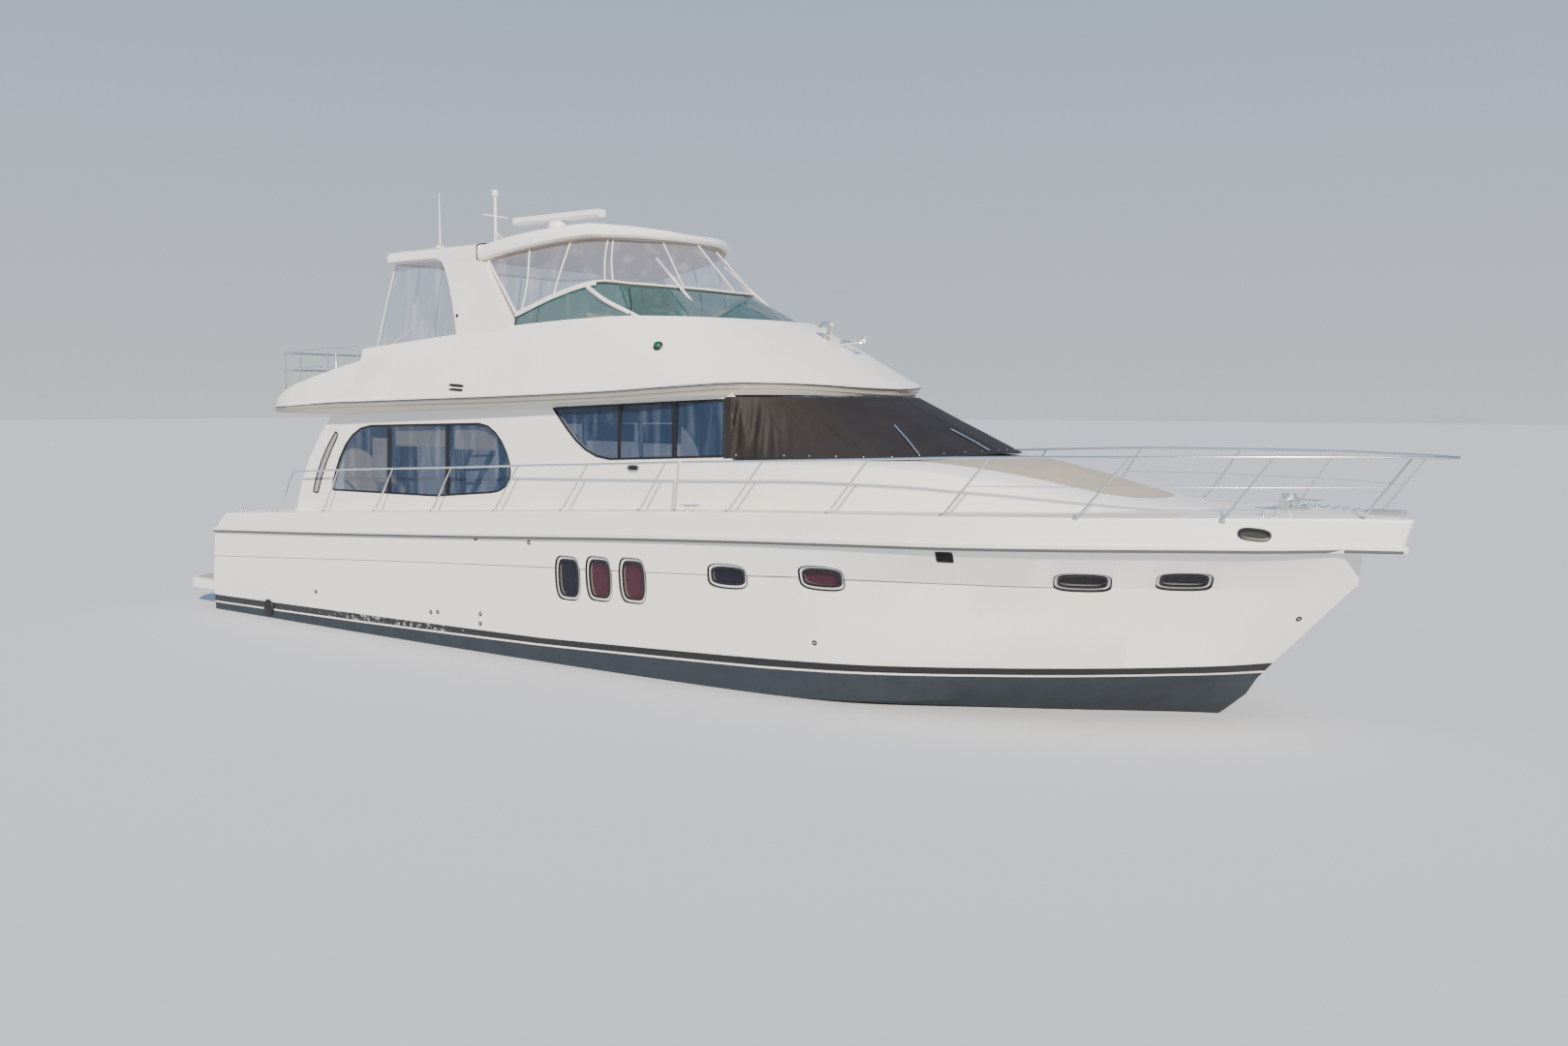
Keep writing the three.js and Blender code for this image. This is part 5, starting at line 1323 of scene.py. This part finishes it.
# %% Rails with their flanges
for node in ("side_rail_starboard", "side_rail_port", "bow_rail", "bridge_rail"):
    smooth_copy(node, STAINLESS, crease=75)
SIDE_POSTS = [(-6.36, 2.085), (-5.21, 2.130), (-4.02, 2.150), (-2.80, 2.165), (-1.56, 2.185),
              (-0.34, 2.205), (0.95, 2.220), (1.51, 2.225)]
BOW_POSTS = [
    ((2.27, 2.235, 2.005), (2.72, 2.165, 2.590)), ((3.60, 2.220, 2.055), (4.05, 2.115, 2.640)),
    ((4.92, 2.130, 2.085), (5.37, 1.965, 2.690)), ((6.22, 1.820, 2.110), (6.68, 1.635, 2.710)),
    ((7.43, 1.200, 2.120), (7.86, 1.080, 2.725)), ((8.48, 0.355, 2.125), (8.90, 0.340, 2.725)),
]
FLANGE = [(0, -0.012), (0.034, -0.012), (0.034, 0.003), (0.022, 0.010), (0.013, 0.030), (0, 0.030)]


def flanges(name, feet):
    shape = bmesh.new()
    for x, y in feet:
        for side in (-1, 1):
            place = frame_at(deck_skin, (x, side * y, 6), (0, 0, -1), up=(1, 0, 0))
            absorb(shape, spun([(radius, 0, height) for radius, height in FLANGE], 12), place)
    return finish_piece(name, shape, [STAINLESS], crease=40)


flanges("rail_flanges", SIDE_POSTS + [(foot[0], foot[1]) for foot, top in BOW_POSTS])
for side, word in SIDES:
    middles = [Vector(foot).lerp(Vector(top), 0.52) for foot, top in BOW_POSTS[2:]]
    tube("lifeline_" + word, [Vector((p.x, side * p.y, p.z)) for p in middles], 0.004, STAINLESS)
print("rails and lifelines finished")

# %% [markdown]
# ## Deck hardware
# Cleats are cast stainless horns on two feet. The hawse is an oval hole in the bulwark with a
# rounded lip. The windlass hauls the anchor chain, which runs from its drum to the bow roller.

# %% Cleats
def cleat(shape, place, length):
    """A horn cleat: two feet and a bar that thins to its ends"""
    horn = bmesh.new()
    rings = []
    for share, thick in ((-1, 0.25), (-0.8, 0.6), (-0.35, 1), (0.35, 1), (0.8, 0.6), (1, 0.25)):
        ring = bmesh.ops.create_circle(horn, segments=10, radius=0.014 * thick)["verts"]
        bmesh.ops.rotate(horn, verts=ring, cent=(0, 0, 0),
                         matrix=Matrix.Rotation(math.pi / 2, 3, "Y"))
        bmesh.ops.translate(horn, verts=ring, vec=(share * length / 2, 0,
                                                   0.062 + 0.012 * abs(share)))
        rings.append(list({edge for vert in ring for edge in vert.link_edges}))
    loft(horn, rings, "capped")
    absorb(shape, horn, place)
    for x in (-0.2, 0.2):
        foot = bmesh.new()
        bmesh.ops.create_cone(foot, cap_ends=True, segments=12, radius1=0.022, radius2=0.011,
                              depth=0.066)
        absorb(shape, foot, place @ Matrix.Translation((x * length, 0, 0.030)))


CLEATS = [(1.77, 2.255, 0.30), (7.72, 0.72, 0.30), (-7.35, 2.03, 0.28)]
cleats = bmesh.new()
for x, y, length in CLEATS:
    for side in (-1, 1):
        place = frame_at(deck_skin, (x, side * y, 6), (0, 0, -1), up=(0, -1, 0))
        cleat(cleats, place, length)
finish_piece("cleats", cleats, [STAINLESS], crease=40)
print(len(CLEATS) * 2, "cleats")

# %% Hawse fairleads, lights and vents on the skin
def oval_fitting(name, place, a, b, rim, proud, powers, rim_material, inner_material):
    """An oval with a raised rim round a sunken plate"""
    levels = ((-0.01, 0.0), (proud * 0.6, 0.0), (proud, -rim * 0.35), (proud * 0.7, -rim),
              (-0.01, -rim))
    ring = oval_plug(a, b, powers, levels, "joined")
    ring.transform(place)
    finish_piece(name + "_rim", ring, [rim_material], crease=50)
    plate = oval_plug(a - rim * 0.6, b - rim * 0.6, powers, [(-0.01, 0), (0.003, 0)])
    plate.transform(place)
    finish_piece(name + "_plate", plate, [inner_material], crease=50)


def tilted(place, degrees):
    return place @ Matrix.Rotation(math.radians(degrees), 4, "Z")


house_skin = skin_of("house_side_starboard", "house_side_port")
arch_skin = skin_of("radar_arch")
for side, word in SIDES:
    hawse = frame_at(deck_skin, (8.234, side * 1.87, 1.99), (-0.55, -side * 0.83, 0))
    oval_fitting("hawse_" + word, tilted(hawse, 6 * side), 0.16, 0.062, 0.030, 0.022, (3, 2.4),
                 BLACK_PLASTIC, GASKET)
    light = side_frame(house_skin, 0.600, 2.447, side)
    oval_fitting("house_light_" + word, light, 0.105, 0.052, 0.022, 0.014, (2.6, 2.2), STAINLESS,
                 BLACK_PLASTIC)
    for number, z in enumerate((3.440, 3.385)):
        slot_place = side_frame(bridge_skin, -2.342, z, side)
        oval_fitting("vent_slot_%d_%s" % (number, word), tilted(slot_place, 4 * side), 0.145,
                     0.020, 0.006, 0.004, (6, 2.4), GASKET, GASKET)
    turned("leg_drain_" + word, [(0, -0.01), (0.024, -0.01), (0.024, 0.006), (0, 0.008)],
           side_frame(arch_skin, -2.569, 4.362, side), BLACK_PLASTIC)
print("hawses, lights and vents fitted")

# %% Louvred vent near the bow
def louvre(shape, place, width, height, slats):
    levels = ((-0.01, 0.012), (0.006, 0.012), (0.008, 0.0), (-0.004, -0.004), (-0.01, -0.004))
    absorb(shape, oval_plug(width / 2, height / 2, (10, 10), levels, "joined", 32), place)
    absorb(shape, oval_plug(width / 2, height / 2, (10, 10), [(-0.01, 0), (0.001, 0)]), place)
    for i in range(slats):
        slat = bmesh.new()
        bmesh.ops.create_cube(slat, size=1)
        bmesh.ops.scale(slat, vec=(width, height / slats * 0.85, 0.002), verts=slat.verts)
        bmesh.ops.rotate(slat, verts=slat.verts, cent=(0, 0, 0),
                         matrix=Matrix.Rotation(math.radians(35), 3, "X"))
        level = height * ((i + 0.5) / slats - 0.5)
        absorb(shape, slat, place @ Matrix.Translation((0, level, 0.002)))


for side, word in SIDES:
    vent = bmesh.new()
    louvre(vent, side_frame(hull_skin, 4.975, 1.690, side), 0.16, 0.11, 4)
    finish_piece("hull_vent_" + word, vent, [BLACK_PLASTIC], crease=30)
print("hull vents fitted")

# %% [markdown]
# ## Lamps and horns
# The side lamps sit on the flybridge shoulder, red to port and green to starboard. On its
# front stand a searchlight and a pair of horns. All of these are turned shapes, set on the
# skin by a ray from above.

# %% Lamps, searchlight and horns
GREEN_LENS = clear_sheet("lens_green", "#0c5a3a", 0.85, 0.05, 1.49, 1, 0.05)
RED_LENS = clear_sheet("lens_red", "#8c1418", 0.85, 0.05, 1.49, 1, 0.05)
LAMP_BASE = [(0, -0.02), (0.062, -0.02), (0.062, 0.012), (0.045, 0.026), (0, 0.026)]
LAMP_LENS = [(0.040, 0.024), (0.038, 0.050), (0.022, 0.062), (0, 0.064)]
for (side, word), lens in zip(SIDES, (GREEN_LENS, RED_LENS)):
    place = side_frame(bridge_skin, 0.908, 3.884, side)
    turned("side_lamp_base_" + word, LAMP_BASE, place, BLACK_PLASTIC)
    turned("side_lamp_lens_" + word, LAMP_LENS, place, lens)


def upright_at(skin, x, y):
    hit = skin.ray_cast(Vector((x, y, 8)), Vector((0, 0, -1)))[0]
    return Matrix.Translation(hit)


def pointing(place, height, pitch):
    """A frame above a place, its Z axis turned to look forward"""
    turn = Matrix.Rotation(math.radians(90 - pitch), 4, "Y")
    return place @ Matrix.Translation((0, 0, height)) @ turn


LIGHT_STAND = [(0, -0.02), (0.055, -0.02), (0.055, 0.015), (0.020, 0.03), (0.018, 0.10), (0, 0.10)]
LIGHT_HEAD = [(0, -0.09), (0.04, -0.08), (0.075, -0.03), (0.085, 0.05), (0.088, 0.075),
              (0.078, 0.075), (0.070, 0.055), (0, 0.050)]
HORN_FOOT = [(0, -0.02), (0.022, -0.02), (0.018, 0.05), (0, 0.05)]
HORN_THROAT = [(0, -0.06), (0.022, -0.055), (0.024, 0.0), (0.012, 0.02)]
# Radius of the bell, and where along the horn, as a share of its length
HORN_BELL = [(0.018, 0.6), (0.030, 0.88), (0.050, 1), (0.044, 1), (0.022, 0.85), (0, 0.8)]
stand = upright_at(bridge_skin, 1.975, 0.108)
turned("searchlight_stand", LIGHT_STAND, stand, STAINLESS)
turned("searchlight_head", LIGHT_HEAD, pointing(stand, 0.135, 0), STAINLESS)
for number, (x, y, length) in enumerate(((2.132, 0.308, 0.30), (2.20, 0.20, 0.24))):
    stand = upright_at(bridge_skin, x, y)
    bell = [(radius, length * share) for radius, share in HORN_BELL]
    turned("horn_foot_%d" % number, HORN_FOOT, stand, STAINLESS)
    turned("horn_%d" % number, HORN_THROAT + bell, pointing(stand, 0.062, 4), STAINLESS)
print("lamps and horns fitted")

# %% Aerial domes on the roof
roof_skin = skin_of("hardtop", "radar_arch")
# Outline of a dome, in shares of its radius
DOME = [(1, 0.35), (0.85, 0.9), (0.45, 1.25), (0, 1.35)]
DOMES = ((-1.45, -1.05, 0.05), (-3.4, 0.8, 0.11), (-3.3, -0.75, 0.045))
for number, (x, y, radius) in enumerate(DOMES):
    profile = [(0, -0.02), (radius * 0.9, -0.02)] + [(radius * a, radius * b) for a, b in DOME]
    turned("roof_dome_%d" % number, profile, upright_at(roof_skin, x, y), WHITE_PLASTIC)
print("roof domes fitted")

# %% Windlass, chain and bow roller
smooth_copy("windlass", STAINLESS, crease=40)


def chain(name, start, end, link, wire):
    """Links of round wire, each turned a quarter from the last"""
    shape = bmesh.new()
    run = Vector(end) - Vector(start)
    count = int(run.length / (link * 0.72))
    turn = run.to_track_quat("X", "Z").to_matrix().to_4x4()
    for i in range(count):
        loop = spun([(0, link * 0.30 + wire * math.cos(a), wire * math.sin(a))
                     for a in (0, 2.094, 4.189)], 10, close=True, merge=1e-6)
        bmesh.ops.scale(loop, vec=(1.5, 1, 1), verts=loop.verts)
        bmesh.ops.recalc_face_normals(loop, faces=loop.faces)
        quarter = Matrix.Rotation(math.pi / 2 * (i % 2), 4, "X")
        middle = Vector(start) + run * (i + 0.5) / count
        absorb(shape, loop, Matrix.Translation(middle) @ turn @ quarter)
    return finish_piece(name, shape, [STAINLESS], crease=60)


chain("anchor_chain", (7.82, 0, 2.215), (8.62, 0, 2.172), 0.062, 0.0075)
ROLLER = [(0, -0.06), (0.05, -0.06), (0.034, -0.02), (0.034, 0.02), (0.05, 0.06), (0, 0.06)]
across = Matrix.Translation((8.66, 0, 2.135)) @ Matrix.Rotation(math.pi / 2, 4, "X")
turned("chain_roller", ROLLER, across, BLACK_PLASTIC)
for side, word in SIDES:
    cheek = bmesh.new()
    bmesh.ops.create_cube(cheek, size=1)
    bmesh.ops.scale(cheek, vec=(0.34, 0.008, 0.10), verts=cheek.verts)
    bmesh.ops.bevel(cheek, geom=cheek.edges, offset=0.003, segments=2, affect="EDGES", profile=0.5,
                    material=-1)
    cheek.transform(Matrix.Translation((8.62, side * 0.072, 2.155)))
    finish_piece("roller_cheek_" + word, cheek, [STAINLESS])
print("ground tackle finished")

# %% [markdown]
# ## Steering and seats
# The wheels are stainless with a black rim, set on moulded consoles with round instruments.
# The seats are foam under cream vinyl. Foam wants to swell and its cover holds it back, so
# each cushion is a bevelled block, remeshed evenly and blown up a little by the cloth solver
# with pressure, with a cap on how far a point may move. It stays flat where it rests.

# %% Consoles and wheels
for node, material, body in (("bridge_console", WHITE_GELCOAT, "boat"),
                             ("lower_helm_console", BLACK_PLASTIC, "boat"),
                             ("bridge_wheel", STAINLESS, "bridge_wheel"),
                             ("lower_wheel", STAINLESS, "lower_wheel")):
    smooth_copy(node, material, body, crease=35)
TILT = math.radians(20)
WHEELS = (("bridge_wheel", (-0.132, -0.65, 3.93), 0.200),
          ("lower_wheel", (1.17, -0.80, 2.20), 0.220))


def wheel_place(centre):
    """Z looks aft and up along the wheel's axle"""
    return Matrix.Translation(centre) @ Matrix.Rotation(-math.pi / 2 + TILT, 4, "Y")


for node, centre, radius in WHEELS:
    grip = [wheel_place(centre) @ Vector((radius * math.cos(a), radius * math.sin(a), 0))
            for a in (2 * math.pi * i / 40 for i in range(40))]
    tube(node + "_grip", grip, 0.016, GASKET, node, closed=True)


def face_point(centre, up, across):
    """A place on the console face, 6 cm behind a wheel"""
    return wheel_place(centre) @ Matrix.Translation((up, across, -0.06))


DIAL = [(0, -0.004), (0.048, -0.004), (0.048, 0.008), (0.040, 0.011), (0.038, 0.006), (0, 0.006)]
for node, centre, radius in WHEELS:
    for number, (up, across) in enumerate(((0.15, -0.36), (0.15, -0.24), (0.15, 0.24),
                                           (0.15, 0.36))):
        if abs(centre[1] + across) > 1.14 and node == "bridge_wheel":
            continue
        turned("dial_%d_%s" % (number, node), DIAL, face_point(centre, up, across), BLACK_PLASTIC,
               steps=20)
print("consoles and wheels finished")

# %% Cushions
def cushion_block(name, low, high, material, rounding=0.045, voxel=0.018):
    shape = bmesh.new()
    bmesh.ops.create_cube(shape, size=1)
    low, high = Vector(low), Vector(high)
    bmesh.ops.scale(shape, vec=high - low, verts=shape.verts)
    bmesh.ops.translate(shape, vec=(low + high) / 2, verts=shape.verts)
    bmesh.ops.bevel(shape, geom=shape.edges, offset=rounding, segments=4, affect="EDGES",
                    profile=0.5, material=-1)
    piece = finish_piece(name, shape, [material], crease=180)
    even = piece.modifiers.new("even", "REMESH")
    even.mode = "VOXEL"
    even.voxel_size = voxel
    even.use_smooth_shade = True
    settle(piece)
    return piece


def settle(piece):
    """Applies the modifiers of a piece to its mesh"""
    graph = bpy.context.evaluated_depsgraph_get()
    mesh = bpy.data.meshes.new_from_object(piece.evaluated_get(graph))
    piece.modifiers.clear()
    piece.data = mesh


def blow_up(piece, cap, floor, pressure=4.0):
    """Swells a cushion with the cloth solver, at most by cap, and never below its floor"""
    rest = [vert.co.copy() for vert in piece.data.vertices]
    cloth = piece.modifiers.new("cloth", "CLOTH")
    cloth.settings.use_pressure = True
    cloth.settings.uniform_pressure_force = pressure
    cloth.settings.effector_weights.gravity = 0
    cloth.point_cache.frame_start, cloth.point_cache.frame_end = 1, 20
    for step in range(1, 21):
        bpy.context.scene.frame_set(step)
    settle(piece)
    bpy.context.scene.frame_set(1)
    for vert, start in zip(piece.data.vertices, rest):
        move = vert.co - start
        if move.length > cap:
            move *= cap / move.length
        vert.co = start + move
        vert.co.z = max(vert.co.z, floor)


def seam_round(name, piece, level, radius=0.006):
    """Piping round a cushion where a level plane meets its side"""
    tree = BVHTree.FromObject(piece, bpy.context.evaluated_depsgraph_get())
    corners = [Vector(corner) for corner in piece.bound_box]
    centre = sum(corners, Vector()) / 8
    low, high = min(corners, key=sum), max(corners, key=sum)
    z = low.z + (high.z - low.z) * level
    points = []
    for i in range(64):
        angle = 2 * math.pi * i / 64
        ray = Vector((math.cos(angle), math.sin(angle), 0))
        hit = tree.ray_cast(Vector((centre.x, centre.y, z)) + ray * 3, -ray)[0]
        if hit:
            points.append(hit)
    return tube(name, points, radius, CREAM_VINYL, closed=True, sides=1)


CUSHIONS = [
    # name, low corner, high corner
    ("settee_port_seat_a", (-4.17, 0.915, 3.63), (-3.31, 1.525, 3.755)),
    ("settee_port_seat_b", (-3.29, 0.915, 3.63), (-2.41, 1.525, 3.755)),
    ("settee_port_back_a", (-4.10, 1.535, 3.76), (-3.27, 1.650, 4.06)),
    ("settee_port_back_b", (-3.25, 1.535, 3.76), (-2.41, 1.650, 4.06)),
    ("settee_aft_seat_a", (-4.14, -1.640, 3.63), (-3.66, -0.39, 3.755)),
    ("settee_aft_seat_b", (-4.14, -0.37, 3.63), (-3.66, 0.895, 3.755)),
    ("settee_aft_back_a", (-4.27, -1.640, 3.76), (-4.155, -0.02, 4.06)),
    ("settee_aft_back_b", (-4.27, 0.00, 3.76), (-4.155, 1.52, 4.06)),
    ("bridge_helm_seat_pad", (-1.10, -0.935, 3.80), (-0.60, -0.365, 3.905)),
    ("bridge_helm_seat_back", (-1.19, -0.925, 3.91), (-1.07, -0.375, 4.42)),
    ("lower_helm_seat_pad", (0.25, -1.085, 1.85), (0.75, -0.515, 1.965)),
    ("lower_helm_seat_back", (0.16, -1.075, 1.97), (0.28, -0.525, 2.48)),
]
for name, low, high in CUSHIONS:
    pad = cushion_block(name, low, high, CREAM_VINYL)
    blow_up(pad, 0.022, low[2] - 0.002)
    smooth = pad.modifiers.new("smooth", "SUBSURF")
    smooth.levels = smooth.render_levels = 1
    seam_round(name + "_piping", pad, 0.5 if "back" in name else 0.8)
print(len(CUSHIONS), "cushions")

# %% [markdown]
# The settee stands on a moulded base, which is the CAD solid with its seat cut off at the
# height of the cushions. The helm seats stand on turned posts.

# %% Settee base and seat posts
base = merged_copy("bridge_settee")
bmesh.ops.bisect_plane(base, geom=base.verts[:] + base.edges[:] + base.faces[:], dist=1e-6,
                       plane_co=(0, 0, 3.63), plane_no=(0, 0, 1), clear_outer=True)
bmesh.ops.holes_fill(base, edges=[edge for edge in base.edges if len(edge.link_faces) == 1],
                     sides=0)
finish_piece("settee_base", base, [WHITE_GELCOAT], replaces=["bridge_settee"])
POST_FOOT = [(0, 0.002), (0.17, 0.002), (0.165, 0.02), (0.07, 0.035), (0.055, 0.06)]
for node, x, y, floor, top in (("bridge_helm_seat", -0.85, -0.65, 3.38, 3.80),
                               ("lower_helm_seat", 0.50, -0.80, 1.0, 1.85)):
    height = top - floor
    head = [(0.055, height - 0.03), (0.15, height - 0.012), (0.15, height), (0, height)]
    post = turned(node + "_post", POST_FOOT + head, Matrix.Translation((x, y, floor)), STAINLESS)
    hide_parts(node)
print("seat bases finished")

# %% [markdown]
# ## Stairs, gate, hatch and running gear
# The remaining solids keep their shape. Flat mouldings get softened edges from a Bevel
# modifier, and the treads of the stairs get non-skid. Below the water the gear is bronze.

# %% Softened mouldings
def softened(node, material, body="boat", width=0.006, tread=None):
    shape = merged_copy(node)
    bmesh.ops.dissolve_limit(shape, angle_limit=math.radians(1), verts=shape.verts,
                             edges=shape.edges)
    for face in shape.faces:
        face.normal_update()
        face.material_index = 1 if tread and face.normal.z > 0.9 else 0
    piece = finish_piece(node + "_finished", shape, [material] + ([tread] if tread else []),
                         body, replaces=[node])
    edges = piece.modifiers.new("softened", "BEVEL")
    edges.width = width
    edges.segments = 2
    edges.limit_method = "ANGLE"
    edges.angle_limit = math.radians(40)
    return piece


softened("bridge_stairs", WHITE_GELCOAT, tread=NONSKID)
softened("transom_gate", WHITE_GELCOAT, "transom_gate")
softened("gate_bracket", STAINLESS, width=0.002)
softened("bridge_hatch", WHITE_GELCOAT, "bridge_hatch")
for side, word in SIDES:
    softened("engine_" + word, IRON, width=0.03)
    for node, body in (("propeller_", "propeller_" + word), ("strut_", "boat"),
                       ("rudder_", "rudder_" + word)):
        smooth_copy(node + word, BRONZE, body, crease=35)
print("mouldings and running gear finished")

# %% Hatch handle
handle = [Vector((-5.93 + 0.05 * i, 1.275, 3.225 + 0.035 * math.sin(math.pi * i / 4)))
          for i in range(5)]
tube("hatch_handle", fair_line(handle, 12), 0.007, STAINLESS, "bridge_hatch")
print("hatch handle fitted")
